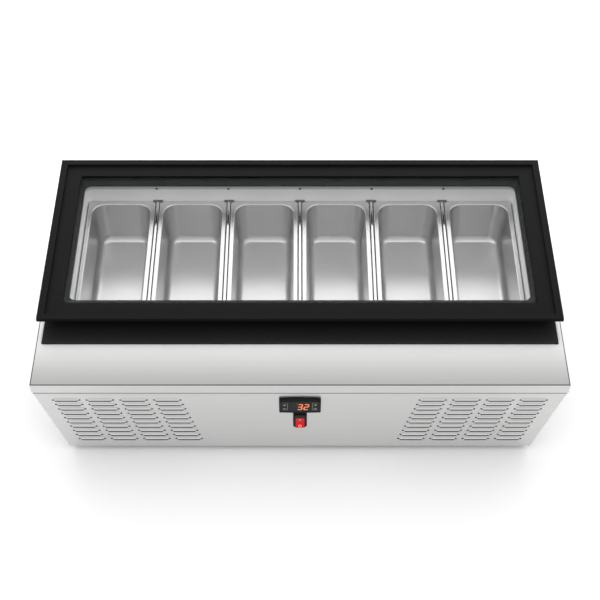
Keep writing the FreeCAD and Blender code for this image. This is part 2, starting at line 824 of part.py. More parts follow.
def rocker():
    """A dished rocker on a cross axle, drawn level and then tilted with its top pressed in."""
    pivot = rocker_pivot
    tall = rocker_tall / 2
    reach = rocker_width / 2
    tilt = math.radians(rocker_tilt)
    out = pivot.y + (tall * math.sin(tilt) - rocker_proud - pivot.y) / math.cos(tilt)
    shoulder = pivot.y - rocker_shoulder
    heel = pivot.y + rocker_heel
    dish = Part.Arc(Vector(-reach, out, pivot.z + tall), Vector(-reach, out + rocker_dish, pivot.z),
                    Vector(-reach, out, pivot.z - tall))
    places = [(out, -tall), (shoulder, -tall), (heel, -rocker_heel_half), (heel, rocker_heel_half),
              (shoulder, tall), (out, tall)]
    outline = [Vector(-reach, y, pivot.z + z) for y, z in places]
    body = Part.Face(Part.Wire([dish.toShape()] + Part.makePolygon(outline).Edges))
    body = body.extrude(Vector(2 * reach, 0, 0))
    body = body.cut(rod(axle_radius + axle_fit, rocker_width + 2, pivot - X_AXIS * (reach + 1), X_AXIS))
    body.rotate(pivot, X_AXIS, -rocker_tilt)
    return body


# ---- running gear ----
def grommet_places():
    dx, dy = grommet_spread
    corners = ((-dx, -dy), (-dx, dy), (dx, -dy), (dx, dy))
    return [Vector(compressor_x + x, compressor_y + y, floor_z) for x, y in corners]


def compressor():
    """A welded can with a domed top on a flat base plate."""
    centre = Vector(compressor_x, compressor_y, floor_z + compressor_lift)
    can = rod(compressor_radius, compressor_tall * can_share, centre, Z_AXIS)
    dome = Part.makeSphere(compressor_radius, Vector(0, 0, 0), Z_AXIS, 0, 90, 360)
    flatten = FreeCAD.Matrix()
    flatten.scale(1, 1, dome_flat)
    dome = dome.transformGeometry(flatten)
    dome.translate(centre + Z_AXIS * (compressor_tall * can_share))
    seam_place = centre + Z_AXIS * (compressor_tall * seam_share)
    weld = rod(compressor_radius + seam_ring_width - 1, seam_ring_tall, seam_place, Z_AXIS)
    wide, deep, thick = base_plate
    plate = block(centre.x - wide / 2, centre.x + wide / 2, centre.y - deep / 2, centre.y + deep / 2,
                  centre.z - thick, centre.z)
    holes = [rod(grommet_hole, compressor_lift + 1, place, Z_AXIS) for place in grommet_places()]
    return can.fuse([dome, weld, plate]).cut(Part.makeCompound(holes)).removeSplitter()


def compressor_grommets():
    under_plate = compressor_lift - base_plate[2]
    shapes = []
    for place in grommet_places():
        low = rod(grommet_radius, under_plate, place, Z_AXIS)
        neck = rod(grommet_neck, compressor_lift + seam_ring_width, place, Z_AXIS)
        shapes.append(low.fuse(neck).removeSplitter())
    return shapes


def relay_cover():
    """Cover over the relay, shaped to the side of the compressor's can."""
    x = compressor_x + compressor_radius + 1
    low = floor_z + relay_low
    cover = block(x, x + relay_deep - 1, compressor_y - relay_width / 2, compressor_y + relay_width / 2,
                  low, low + relay_tall)
    middle = Vector(compressor_x, compressor_y, 0)
    room = rod(compressor_radius + seam_ring_width - tube_join, top_z, middle, Z_AXIS)
    return cover.cut(room)


def condenser_fins():
    x0, x1, y0, y1 = condenser_box
    gap = (y1 - y0 - fin_thick) / (fin_count - 1)
    low = floor_z + condenser_lift
    holes = [rod(tube_radius + fin_fit, y1 - y0 + 2, Vector(x, y0 - 1, z), Y_AXIS) for x, z in tube_rows]
    holes = Part.makeCompound(holes)
    shapes = []
    for i in range(fin_count):
        y = y0 + i * gap
        shapes.append(block(x0, x1, y, y + fin_thick, low, low + condenser_tall).cut(holes))
    return shapes


def condenser_tube():
    """One tube that runs to and fro through the fins."""
    y0, y1 = condenser_box[2:]
    front = y0 - row_overrun
    rear = y1 + row_overrun
    points = []
    for row, (x, z) in enumerate(tube_rows):
        ends = (front, rear) if row % 2 == 0 else (rear, front)
        points += [Vector(x, y, z) for y in ends]
    points[0].y = y0 - row_overrun + tube_radius
    return pipe(points, tube_radius, row_bend)


def fan_shroud():
    x1, y0, y1 = condenser_box[1:]
    x0 = x1 + tube_join
    z0 = floor_z + tube_join
    front = fan_centre.x + shroud_reach
    hood = block(x0, front, y0 - shroud_margin, y1 + shroud_margin, z0, z0 + shroud_tall)
    side = shroud_margin - shroud_sheet
    hollow = block(x1, front - shroud_sheet, y0 - side, y1 + side,
                   z0 + shroud_sheet, z0 + shroud_tall - shroud_sheet)
    mouth = rod(fan_radius + fan_tip_gap, 2 * fan_forward, Vector(x1 + 1, fan_centre.y, fan_centre.z), X_AXIS)
    return hood.cut(hollow).cut(mouth)


def fan_motor():
    can = rod(motor_radius, motor_long, fan_centre + X_AXIS * motor_gap, X_AXIS)
    shaft = rod(shaft_radius, motor_gap + 2 * shaft_radius, fan_centre - X_AXIS * shroud_margin, X_AXIS)
    return can.fuse(shaft).removeSplitter()


def fan_bracket():
    x = fan_centre.x + motor_gap + motor_long + 1
    y0 = fan_centre.y - bracket_half
    y1 = fan_centre.y + bracket_half
    post = block(x, x + bracket_sheet, y0, y1, floor_z, fan_centre.z + bracket_half)
    foot = block(x, x + bracket_foot, y0, y1, floor_z, floor_z + bracket_sheet)
    return post.fuse(foot).removeSplitter()


def fan_blade():
    """A hub with pitched flat blades, trimmed to a circle and bored for the shaft."""
    hub = rod(hub_radius, hub_long, fan_centre - X_AXIS * (0.4 * hub_long), X_AXIS)
    middle = Vector(0, 0, 0)
    blades = []
    for i in range(blade_count):
        blade = block(-blade_thick / 2, blade_thick / 2, -blade_wide / 2, blade_wide / 2,
                      blade_root, fan_radius)
        blade.rotate(middle, Z_AXIS, blade_pitch)
        blade.rotate(middle, X_AXIS, 360 / blade_count * i)
        blade.translate(fan_centre + X_AXIS * blade_thick)
        blades.append(blade)
    wheel = hub.fuse(blades)
    wheel = wheel.common(rod(fan_radius, 2 * fan_forward, fan_centre - X_AXIS * fan_forward, X_AXIS))
    bore_start = fan_centre - X_AXIS * (shroud_margin + shroud_sheet)
    return wheel.cut(rod(shaft_radius + shaft_fit, hub_long + motor_gap, bore_start, X_AXIS)).removeSplitter()


def filter_drier():
    start = Vector(drier_x, bulkhead_y - drier_back, floor_z + drier_high)
    body = rod(drier_radius, drier_long, start, X_AXIS)
    nose = Part.makeCone(drier_radius, tube_radius, drier_nose, start + X_AXIS * drier_long, X_AXIS)
    tail = Part.makeCone(tube_radius, drier_radius, drier_nose, start - X_AXIS * drier_nose, X_AXIS)
    return body.fuse([nose, tail]).removeSplitter()


def discharge_tube():
    """From the compressor, along the bulkhead, to the top of the condenser."""
    x, z = tube_rows[-1]
    high = floor_z + tube_high
    can_side = compressor_x - compressor_radius
    riser = can_side - discharge_side
    back = bulkhead_y - discharge_back
    start = Vector(can_side - tube_join, compressor_y, floor_z + discharge_low)
    points = [start, Vector(riser, compressor_y, start.z), Vector(riser, compressor_y, high),
              Vector(riser, back, high), Vector(x, back, high), Vector(x, back, z),
              Vector(x, condenser_box[3] + row_overrun, z)]
    return pipe(points, tube_radius, tube_bend)


def suction_tube():
    """From the evaporator's outlet in the bulkhead back to the compressor."""
    high = floor_z + tube_high
    low = floor_z + suction_low
    can_side = compressor_x + compressor_radius
    outlet = compressor_x - suction_x
    side = can_side + suction_side
    back = bulkhead_y - suction_back
    points = [Vector(outlet, bulkhead_y - sheet - tube_join, high), Vector(outlet, back, high),
              Vector(side, back, high), Vector(side, back, low), Vector(side, compressor_y, low),
              Vector(can_side + tube_join, compressor_y, low)]
    return pipe(points, tube_radius + suction_wall, suction_bend)


def probe_pocket():
    """The foam's hole from the bulkhead to the liner, which holds the probe and its lead."""
    deep = well_front_y - liner_sheet - probe_gap - bulkhead_y
    return rod(probe_room, deep, Vector(probe_x, bulkhead_y, well_floor_z + probe_height), Y_AXIS)


def temperature_probe():
    """A capsule against the liner with its lead running out to the controller."""
    z = well_floor_z + probe_height
    back = well_front_y - liner_sheet - tube_join - probe_long
    tip = rod(probe_radius, probe_long, Vector(probe_x, back, z), Y_AXIS)
    lead = rod(probe_lead, back - bulkhead_y, Vector(probe_x, bulkhead_y, z), Y_AXIS)
    return tip.fuse(lead).removeSplitter()


def wiring_box():
    rear = bulkhead_y - sheet - tube_join
    low, high = wiring_box_z
    return block(*wiring_box_x, rear - wiring_box_deep, rear, floor_z + low, floor_z + high)


# ---- back and fasteners ----
def power_inlet():
    """Three-pin appliance inlet with its flange on the rear panel."""
    face = body_depth - panel_y
    case_wide, case_tall, case_deep = inlet_case
    well_wide, well_tall, well_deep = inlet_well
    blade_wide_x, blade_tall = inlet_blade

    def centred(wide, tall, y0, y1, dx=0.0, dz=0.0):
        x = inlet_x + dx
        z = inlet_z + dz
        return block(x - wide / 2, x + wide / 2, y0, y1, z - tall / 2, z + tall / 2)

    flange = centred(inlet_width, inlet_tall, face, body_depth + inlet_proud)
    case = centred(case_wide, case_tall, face - case_deep, face + 1)
    well = centred(well_wide, well_tall, face - well_deep, body_depth + 2 * inlet_proud)
    root = face - well_deep - 1
    blades = [centred(blade_wide_x, blade_tall, root, face - 1, dx, dz) for dx, dz in inlet_blades]
    return flange.fuse(case).cut(well).fuse(blades).removeSplitter()


def screw(place, direction):
    """A pan-head screw with its head on the outside of the sheet."""
    head = Part.makeCone(screw_head_radius, screw_crown_radius, screw_head_tall, place, direction)
    shank = rod(screw_radius, screw_long, place - direction * screw_long, direction)
    return head.fuse(shank).removeSplitter()


def rear_screws():
    face = body_depth - panel_y
    shapes = []
    for z in (foot_height + rear_screw_low, lip_z - rear_screw_high):
        reach = side_x(z) - rear_screw_inset
        spacing = 2 * reach / (rear_screw_columns - 1)
        for i in range(rear_screw_columns):
            shapes.append(screw(Vector(i * spacing - reach, face, z), Y_AXIS))
    return shapes


def hinge_screws():
    shapes = []
    for side in (-1, 1):
        for dx in hinge_screw_xs:
            place = Vector(side * hinge_x + dx, collar_rear_y + hinge_screw_back, leaf_foot_z + hinge_leaf)
            shapes.append(screw(place, Z_AXIS))
    return shapes


def main():
    os.makedirs("parts", exist_ok=True)
    coil = evaporator()
    fasteners = rear_screws()
    hinge_fasteners = hinge_screws()
    fastener_room = Part.makeCompound(fasteners + hinge_fasteners)
    foot_group = feet()
    save("top_cap", top_cap().cut(fastener_room))
    save("front_panel", front_panel())
    save("left_side_panel", side_panel(-1))
    save("right_side_panel", side_panel(1))
    save("rear_panel", rear_panel().cut(fastener_room))
    save("base_tray", base_tray().cut(Part.makeCompound(foot_group + fasteners)))
    save("feet", Part.makeCompound(foot_group))
    save("bulkhead", bulkhead())
    save("insulation_foam", insulation(coil).cut(Part.makeCompound(fasteners + hinge_fasteners + foot_group)))
    save("well_liner", well_liner())
    save("evaporator_coil", Part.makeCompound(coil))
    save("front_support_rail", support_rail(well_front_y, 1))
    save("rear_support_rail", support_rail(well_rear_y, -1))
    for i, x in enumerate(bar_xs):
        save("divider_bar_" + str(i + 1), divider_bar(x))
    for i, x in enumerate(pan_xs):
        save("pan_" + str(i + 1), pan(x))
    save("surround_collar", surround_collar().cut(fastener_room))
    save("lid_frame", lid_frame())
    save("lid_glass", lid_glass())
    save("lid_gasket", lid_gasket())
    for name, side in (("left", -1), ("right", 1)):
        save(name + "_hinge_cabinet_leaf", hinge_cabinet_leaf(side * hinge_x).cut(fastener_room))
        save(name + "_hinge_lid_leaf", hinge_lid_leaf(side * hinge_x))
    save("hinge_pins", Part.makeCompound([hinge_pin(side * hinge_x) for side in (-1, 1)]))
    save("hinge_screws", Part.makeCompound(hinge_fasteners))
    save("rear_panel_screws", Part.makeCompound(fasteners))
    save("controller_housing", controller_housing())
    save("display_lens", display_lens())
    for name, x, z in button_places:
        save(name + "_button", controller_button(x, z))
    save("rocker_switch_housing", rocker_switch_housing())
    save("rocker", rocker())
    save("compressor", compressor())
    save("compressor_grommets", Part.makeCompound(compressor_grommets()))
    save("relay_cover", relay_cover())
    save("condenser_fins", Part.makeCompound(condenser_fins()))
    save("condenser_tube", condenser_tube())
    save("fan_shroud", fan_shroud())
    save("fan_motor", fan_motor())
    save("fan_bracket", fan_bracket())
    save("fan_blade", fan_blade())
    save("filter_drier", filter_drier())
    save("discharge_tube", discharge_tube())
    save("suction_tube", suction_tube())
    save("temperature_probe", temperature_probe())
    save("wiring_box", wiring_box())
    save("power_inlet", power_inlet())


main()
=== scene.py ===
import bpy
import bmesh
import math
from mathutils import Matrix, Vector


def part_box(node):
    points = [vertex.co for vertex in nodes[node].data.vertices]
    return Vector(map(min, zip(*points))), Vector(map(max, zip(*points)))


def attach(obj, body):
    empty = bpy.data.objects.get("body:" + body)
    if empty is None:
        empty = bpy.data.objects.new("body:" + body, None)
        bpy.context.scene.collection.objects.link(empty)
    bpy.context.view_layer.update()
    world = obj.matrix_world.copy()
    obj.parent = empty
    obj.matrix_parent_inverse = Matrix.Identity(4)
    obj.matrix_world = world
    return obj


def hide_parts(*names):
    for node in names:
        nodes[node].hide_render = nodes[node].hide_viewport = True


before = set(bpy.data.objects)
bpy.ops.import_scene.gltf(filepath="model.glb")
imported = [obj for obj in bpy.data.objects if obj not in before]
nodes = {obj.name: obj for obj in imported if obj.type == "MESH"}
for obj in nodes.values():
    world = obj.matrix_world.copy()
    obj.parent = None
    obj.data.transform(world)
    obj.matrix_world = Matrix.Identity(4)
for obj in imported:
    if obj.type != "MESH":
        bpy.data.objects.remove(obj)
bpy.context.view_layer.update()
print("frame loaded:", len(nodes), "nodes")


# finishes
class Link:  # one socket, which adds a Math node for each sign used on it
    def __init__(self, finish, socket):
        self.finish = finish
        self.socket = socket

    def maths(self, operation, first, second):
        return self.finish.node("ShaderNodeMath", {"operation": operation}, {0: first, 1: second})

    def __add__(self, other):
        return self.maths("ADD", self, other)

    def __rsub__(self, other):
        return self.maths("SUBTRACT", other, self)

    def __mul__(self, other):
        return self.maths("MULTIPLY", self, other)

    def __rmul__(self, other):
        return self.maths("MULTIPLY", other, self)

    def __gt__(self, other):
        return self.maths("GREATER_THAN", self, other)

    def __lt__(self, other):
        return self.maths("LESS_THAN", self, other)


nearBlack = (0.01, 0.01, 0.01, 1.0)


class Finish:
    def __init__(self, name, colour, roughness, metallic=0.0):
        self.material = bpy.data.materials.new(name)
        self.material.use_nodes = True
        self.tree = self.material.node_tree
        self.shader = self.tree.nodes["Principled BSDF"]
        self.material.diffuse_color = (*colour, 1.0)
        self.put("Base Color", (*colour, 1.0))
        self.put("Roughness", roughness)
        self.put("Metallic", metallic)

    def put(self, socket, value):
        if isinstance(value, Link):
            self.tree.links.new(value.socket, self.shader.inputs[socket])
        else:
            self.shader.inputs[socket].default_value = value

    def node(self, kind, settings=None, inputs=None, output=0):
        made = self.tree.nodes.new(kind)
        for key, value in (settings or {}).items():
            setattr(made, key, value)
        for key, value in (inputs or {}).items():
            if isinstance(value, Link):
                self.tree.links.new(value.socket, made.inputs[key])
            else:
                made.inputs[key].default_value = value
        return Link(self, made.outputs[output])

    def place(self, scale=(1.0, 1.0, 1.0)):
        where = self.node("ShaderNodeTexCoord", output="Object")
        return self.node("ShaderNodeMapping", None, {"Vector": where, "Scale": scale})

    def noise(self, scale=(1.0, 1.0, 1.0), detail=3.0, rough=0.5):
        return self.node("ShaderNodeTexNoise", None,
                         {"Vector": self.place(scale), "Scale": 1.0, "Detail": detail, "Roughness": rough})

    def spread(self, link, low, high):  # softens a noise so that low..high becomes 0..1
        return self.node("ShaderNodeMapRange", None, {"Value": link, "From Min": low, "From Max": high})

    def shade(self, link, dark, light):  # a colour between two tones
        settings = {"data_type": "RGBA"}
        return self.node("ShaderNodeMix", settings, {0: link, 6: (*dark, 1.0), 7: (*light, 1.0)}, output=2)

    def darken(self, factor, colour):
        settings = {"data_type": "RGBA"}
        return self.node("ShaderNodeMix", settings, {0: factor, 6: colour, 7: nearBlack}, output=2)

    def along(self, axis):  # a place on the piece, in metres
        where = self.node("ShaderNodeTexCoord", output="Object")
        return self.node("ShaderNodeSeparateXYZ", None, {"Vector": where}, output=axis)

    def between(self, axis, low, high):  # 1 inside a band across the piece, 0 outside
        place = self.along(axis)
        return (place > low) * (place < high)

    def bump(self, link, strength, depth):
        inputs = {"Strength": strength, "Distance": depth, "Height": link}
        self.put("Normal", self.node("ShaderNodeBump", None, inputs))


def grey(value):
    return (value, value, value)


def tint(colour, factor):
    return tuple(min(1.0, c * factor) for c in colour)


def brushedSteel(name, along, look, seams=(), paintedShade=None):
    finish = Finish(name, look["tone"], look["roughness"], 1.0)
    fine = look["grain"]
    scales = {"x": (look["length"], fine, fine), "y": (fine, look["length"], fine)}
    strands = finish.noise(scales[along], 4.0, 0.6)
    bands = finish.noise(tuple(s * look["bandShare"] for s in scales[along]), 2.0, 0.5)
    clouds = finish.noise(grey(look["cloud"]), 3.0, 0.5)
    mixed = finish.spread(strands * 0.5 + bands * 0.5, 0.3, 0.7)
    colour = finish.shade(mixed, tint(look["tone"], 0.955), tint(look["tone"], 1.035))
    for bands in seams:  # painted shade: dark lines along the cap's folds and just under its lip
        mask = 1.0
        for axis, low, high in bands:
            mask = finish.between(axis, low, high) * mask
        colour = finish.darken(mask * look["seam"], colour)
    if paintedShade:  # painted shade: the top's colour darkens towards its folded front edge, standing in for light falling off across the ledge
        shadeRamp = 1.0 - finish.spread(finish.along(1), paintedShade["start"], paintedShade["start"] + paintedShade["reach"])
        onTop = finish.between(2, paintedShade["level"] - 0.0008, paintedShade["level"] + 0.001)
        colour = finish.darken(onTop * (shadeRamp * paintedShade["change"] + paintedShade["least"]), colour)
    finish.put("Base Color", colour)
    finish.put("Roughness", mixed * 0.07 + clouds * 0.06 + (look["roughness"] - 0.06))
    finish.bump(strands, look["bump"], 0.0002)
    return finish.material


def linerSteel(name, look, low, high, shadeBand):  # painted shade: lightest at the rim plane and darker towards the top, with a darker painted-shade band just under the skirt
    finish = Finish(name, look["tone"], look["roughness"], look["metallic"])
    strands = finish.noise((look["length"], look["grain"], look["grain"]), 4.0, 0.6)
    clouds = finish.noise(grey(look["cloud"]), 3.0, 0.5)
    # painted shade: the wall's colour darkens from the rim plane up towards the skirt
    rise = finish.spread(finish.along(2), low, high)
    colour = finish.shade(rise + strands * 0.12 + (-0.06), look["tone"], tint(look["tone"], look["topShare"]))
    # painted shade: a dark band just under the black skirt
    underSkirtShade = finish.spread(finish.along(2), high - shadeBand, high - shadeBand + look["shadeBandEdge"])
    finish.put("Base Color", finish.darken(underSkirtShade * look["seam"], colour))
    finish.put("Roughness", clouds * 0.08 + strands * 0.05 + (look["roughness"] - 0.06))
    finish.bump(strands, look["bump"], 0.0002)
    return finish.material


def satinSteel(name, look):
    finish = Finish(name, look["tone"], look["roughness"], 1.0)
    grain = finish.noise(grey(look["grain"]), 3.0, 0.6)
    clouds = finish.noise(grey(look["cloud"]), 4.0, 0.55)
    soft = finish.spread(clouds, 0.3, 0.7)
    finish.put("Base Color", finish.shade(soft, tint(look["tone"], 0.97), look["tone"]))
    finish.put("Roughness", grain * 0.05 + clouds * 0.06 + (look["roughness"] - 0.055))
    finish.bump(clouds * 0.7 + grain * 0.3, look["bump"], 0.0006)
    return finish.material


def blackMoulding(name, look):
    finish = Finish(name, look["tone"], look["roughness"])
    grain = finish.noise(grey(look["grain"]), 2.0, 0.5)
    clouds = finish.noise(grey(9.0), 3.0, 0.6)
    finish.put("Base Color", finish.shade(clouds, tint(look["tone"], 0.88), tint(look["tone"], 1.12)))
    finish.put("Roughness", clouds * 0.08 + grain * 0.05 + (look["roughness"] - 0.065))
    finish.bump(grain, look["bump"], 0.0002)
    finish.put("Specular IOR Level", look["specular"])
    return finish.material


def plainFinish(name, colour, roughness, metallic=0.0, grain=900.0, bump=0.08, vary=0.06, specular=None):
    finish = Finish(name, colour, roughness, metallic)
    fine = finish.noise(grey(grain), 2.0, 0.5)
    clouds = finish.noise(grey(14.0), 3.0, 0.6)
    finish.put("Base Color", finish.shade(clouds, tint(colour, 1.0 - vary), tint(colour, 1.0 + vary)))
    finish.put("Roughness", clouds * 0.1 + (roughness - 0.05))
    finish.bump(fine, bump, 0.0003)
    if specular is not None:
        finish.put("Specular IOR Level", specular)
    return finish


def zincSheet(name):
    finish = Finish(name, (0.55, 0.57, 0.58), 0.38, 1.0)
    pattern = {"Vector": finish.place(), "Scale": 90.0}
    cells = finish.node("ShaderNodeTexVoronoi", {"feature": "F1"}, pattern, output="Color")
    flakes = finish.node("ShaderNodeSeparateColor", None, {"Color": cells})
    clouds = finish.noise(grey(20.0))
    finish.put("Base Color", finish.shade(flakes, (0.47, 0.49, 0.51), (0.62, 0.64, 0.65)))
    finish.put("Roughness", flakes * 0.12 + clouds * 0.1 + 0.26)
    return finish.material


def clearGlass(name):
    finish = Finish(name, (0.03, 0.045, 0.04), 0.03)
    smears = finish.noise((3.0, 5.0, 3.0), 4.0, 0.6)
    finish.put("Roughness", smears * 0.03 + 0.015)
    finish.put("Alpha", finish.spread(smears, 0.2, 0.8) * 0.02 + 0.05)
    finish.put("IOR", 1.52)
    return finish.material


def glowing(name, colour, strength):
    finish = Finish(name, tint(colour, 0.6), 0.4)
    pixels = finish.noise(grey(700.0), 1.0)
    finish.put("Emission Color", finish.shade(finish.spread(pixels, 0.2, 0.8), tint(colour, 0.9), colour))
    finish.put("Emission Strength", strength)
    return finish.material


steelLook = {"tone": (0.63, 0.63, 0.625), "roughness": 0.31, "length": 5.0, "grain": 1100.0,
             "bandShare": 0.09, "cloud": 3.0, "bump": 0.1, "seam": 0.9}
linerLook = {"tone": (0.96, 0.96, 0.955), "metallic": 0.15, "roughness": 0.5, "length": 4.0,
             "grain": 900.0, "cloud": 4.0, "bump": 0.06, "topShare": 0.78, "shadeBandEdge": 0.0006, "seam": 0.4}
panLook = {"tone": (0.68, 0.68, 0.677), "roughness": 0.3, "grain": 1400.0, "cloud": 6.0, "bump": 0.05}
barLook = {"tone": (0.72, 0.72, 0.715), "roughness": 0.12, "grain": 1400.0, "cloud": 8.0, "bump": 0.03}
plasticLook = {"tone": (0.012, 0.012, 0.0125), "roughness": 0.42, "grain": 1500.0, "bump": 0.12,
               "specular": 0.14}
capLow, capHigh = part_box("top_cap")
linerLow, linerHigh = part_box("well_liner")
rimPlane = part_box("pan_1")[1].z
skirtDrop = 0.007
skirtEnd = linerHigh.z - skirtDrop
shadeBandTall = 0.0125
lipShadowTall = 0.0042
foldTop = (2, capHigh.z - 0.0018, capHigh.z + 0.001)
# painted shade: dark bands along the cap's front and side folds
capFoldShade = [[(1, capLow.y - 0.001, capLow.y + 0.0013), foldTop],
            [(0, capLow.x - 0.001, capLow.x + 0.0022), foldTop],
            [(0, capHigh.x - 0.0022, capHigh.x + 0.001), foldTop]]
# painted shade on the cap's top: a slight overall darkening plus a ramp towards the front fold
capPaintedShade = {"start": capLow.y, "reach": 0.105, "level": capHigh.z, "least": 0.1, "change": 0.26}
finishes = {
    "steelAlongX": brushedSteel("brushed_steel", "x", steelLook),
    "capSteel": brushedSteel("brushed_steel_top", "x", steelLook, capFoldShade, capPaintedShade),
    # painted shadow: a dark band on the front panel just under the cap's lip
    "panelSteel": brushedSteel("brushed_steel_front", "x", steelLook,
                               [[(2, capLow.z - lipShadowTall, capLow.z)]]),
    "linerSteel": linerSteel("liner_steel", linerLook, rimPlane, skirtEnd, shadeBandTall),
    # painted shade: a darker copy of the pan steel for the divider tabs
    "tabShadedSteel": satinSteel("tab_steel_painted_shade", dict(panLook, tone=(0.24, 0.24, 0.238))),
    "steelAlongY": brushedSteel("brushed_steel_sides", "y", steelLook),
    "panSteel": satinSteel("pan_steel", panLook),
    # painted highlight: a near-white copy of the pan steel for the pans' rounded mouth edge
    "panEdgeHighlight": satinSteel("pan_edge_painted_highlight", dict(panLook, tone=(0.97, 0.97, 0.965), roughness=0.4)),
    "barSteel": satinSteel("bar_steel", barLook),
    "blackPlastic": blackMoulding("black_plastic", plasticLook),
    "lidPlastic": blackMoulding("lid_plastic", dict(plasticLook, tone=(0.0075, 0.0075, 0.0078),
                                                    roughness=0.55, specular=0.05)),
    "controlPlastic": blackMoulding("control_plastic", dict(plasticLook, tone=(0.008, 0.008, 0.0083),
                                                            roughness=0.3)),
    "zinc": zincSheet("zinc_sheet"),
    "rubber": plainFinish("rubber", (0.025, 0.025, 0.026), 0.75, grain=1200.0, bump=0.2).material,
    "foam": plainFinish("foam", (0.78, 0.70, 0.48), 0.85, grain=350.0, bump=0.5).material,
    "copper": plainFinish("copper", (0.78, 0.42, 0.28), 0.3, 1.0, vary=0.12).material,
    "fin": plainFinish("fin_aluminium", (0.78, 0.79, 0.80), 0.35, 1.0).material,
    "glass": clearGlass("lid_glass"),
    "lens": plainFinish("display_lens", (0.014, 0.014, 0.015), 0.2, bump=0.02,
                        specular=0.12).material,
    "key": plainFinish("key_plastic", (0.03, 0.03, 0.031), 0.5).material,
    "mark": plainFinish("mark_grey", (0.33, 0.33, 0.33), 0.5).material,
    "white": plainFinish("mark_white", (0.85, 0.80, 0.80), 0.4).material,
    "red": plainFinish("red_plastic", (0.60, 0.004, 0.003), 0.3, bump=0.03, specular=0.2).material,
    "digits": glowing("display_digits", (1.0, 0.25, 0.08), 0.6),
    "plated": plainFinish("plated_steel", (0.70, 0.70, 0.69), 0.25, 1.0).material,
    "enamel": plainFinish("black_enamel", (0.02, 0.02, 0.021), 0.3, grain=300.0, bump=0.15).material,
    # near-black: the bolts' own colour, and painted shade on the louvre lips and hole walls
    "dark": plainFinish("black_and_painted_shade", (0.01, 0.01, 0.01), 0.8).material,
}
print("finishes made:", len(finishes))


# the camera, lights and floor
viewpoint = {"inFront": 1.567, "overTop": 2.250, "pitch": 51.3, "lens": 75.96}
lighting = {"world": 0.87, "key": 15.5, "keySize": (2.8, 1.5), "keyHeight": 0.6, "keyFront": 0.50,
            "fill": 130.0, "fillSize": 7.0, "fillHeight": 4.5, "floorTone": 0.9}


def addArea(name, place, width, depth, energy, inReflections):
    bpy.ops.object.light_add(type="AREA", location=place)
    lamp = bpy.context.object
    lamp.name = name
    lamp.data.shape = "RECTANGLE"
    lamp.data.size = width
    lamp.data.size_y = depth
    lamp.data.energy = energy
    lamp.visible_camera = False
    lamp.visible_glossy = inReflections


def setStage():
    bpy.ops.object.camera_add(location=(0, capLow.y - viewpoint["inFront"], capHigh.z + viewpoint["overTop"]),
                              rotation=(math.radians(90 - viewpoint["pitch"]), 0, 0))
    camera = bpy.context.object
    camera.data.lens = viewpoint["lens"]
    camera.data.clip_end = 50.0
    bpy.context.scene.camera = camera

    scene = bpy.context.scene
    scene.view_settings.view_transform = "Standard"
    scene.world = bpy.data.worlds.new("studio")
    scene.world.use_nodes = True
    background = scene.world.node_tree.nodes["Background"]
    background.inputs["Color"].default_value = (1.0, 1.0, 1.0, 1.0)
    background.inputs["Strength"].default_value = lighting["world"]

    width, depth = lighting["keySize"]
    middle = capLow.y + lighting["keyFront"] + depth / 2
    addArea("key_softbox", (0, middle, capHigh.z + lighting["keyHeight"]), width, depth, lighting["key"], True)
    wide = lighting["fillSize"]
    addArea("overhead_fill", (0, 0, lighting["fillHeight"]), wide, wide, lighting["fill"], False)

    bpy.ops.mesh.primitive_plane_add(size=14.0, location=(0, 0, -0.0004))
    floor = bpy.context.object
    floor.name = "studio_floor"
    paint = plainFinish("floor_paint", grey(lighting["floorTone"]), 0.9, bump=0.0, vary=0.005)
    floor.data.materials.append(paint.material)


bpy.ops.object.select_all(action="DESELECT")
setStage()
print("camera, lights and floor set")


# how pieces are shaped
def begin():
    if bpy.context.object and bpy.context.object.mode == "EDIT":
        bpy.ops.object.mode_set(mode="OBJECT")
    bpy.ops.object.select_all(action="DESELECT")


def named(name):
    piece = bpy.context.object
    piece.name = name
    piece.data.name = name
    return piece


def settle(piece):  # puts a piece's place, turn and size into its mesh
    begin()
    piece.select_set(True)
    bpy.context.view_layer.objects.active = piece
    bpy.ops.object.transform_apply(location=True, rotation=True, scale=True)
    return piece


def block(name, low, high):
    begin()
    low, high = Vector(low), Vector(high)
    bpy.ops.mesh.primitive_cube_add(size=1.0, location=(low + high) / 2)
    piece = named(name)
    piece.scale = high - low
    return settle(piece)


def rod(name, start, end, radius, sides=32, top=None):
    begin()
    start, end = Vector(start), Vector(end)
    turn = (end - start).to_track_quat("Z", "Y").to_euler()
    bpy.ops.mesh.primitive_cone_add(vertices=sides, radius1=radius, radius2=radius if top is None else top,
                                    depth=(end - start).length, location=(start + end) / 2, rotation=turn)
    return settle(named(name))


def edit(piece, kind):
    if bpy.context.object != piece or piece.mode != "EDIT":
        begin()
        piece.select_set(True)
        bpy.context.view_layer.objects.active = piece
        bpy.ops.object.mode_set(mode="EDIT")
    bpy.ops.mesh.select_mode(type=kind)


def pick(piece, kind, test):  # selects what passes a test on its middle and normal
    edit(piece, kind)
    bpy.ops.mesh.select_all(action="DESELECT")
    shape = bmesh.from_edit_mesh(piece.data)
    shape.normal_update()
    things = {"VERT": shape.verts, "EDGE": shape.edges, "FACE": shape.faces}[kind]
    found = [thing for thing in things if test(thing)]
    for thing in found:
        thing.select_set(True)
    bmesh.update_edit_mesh(piece.data)
    return len(found)


def near(value, target, slack=0.0002):
    return abs(value - target) < slack


def ends(edge):
    return edge.verts[0].co, edge.verts[1].co


def upright(edge):
    a, b = ends(edge)
    return near(a.x, b.x) and near(a.y, b.y) and not near(a.z, b.z)


def at(axis, value, slack=0.0002):  # an edge or face whose every corner lies at that height or place
    return lambda thing: all(near(v.co[axis], value, slack) for v in thing.verts)


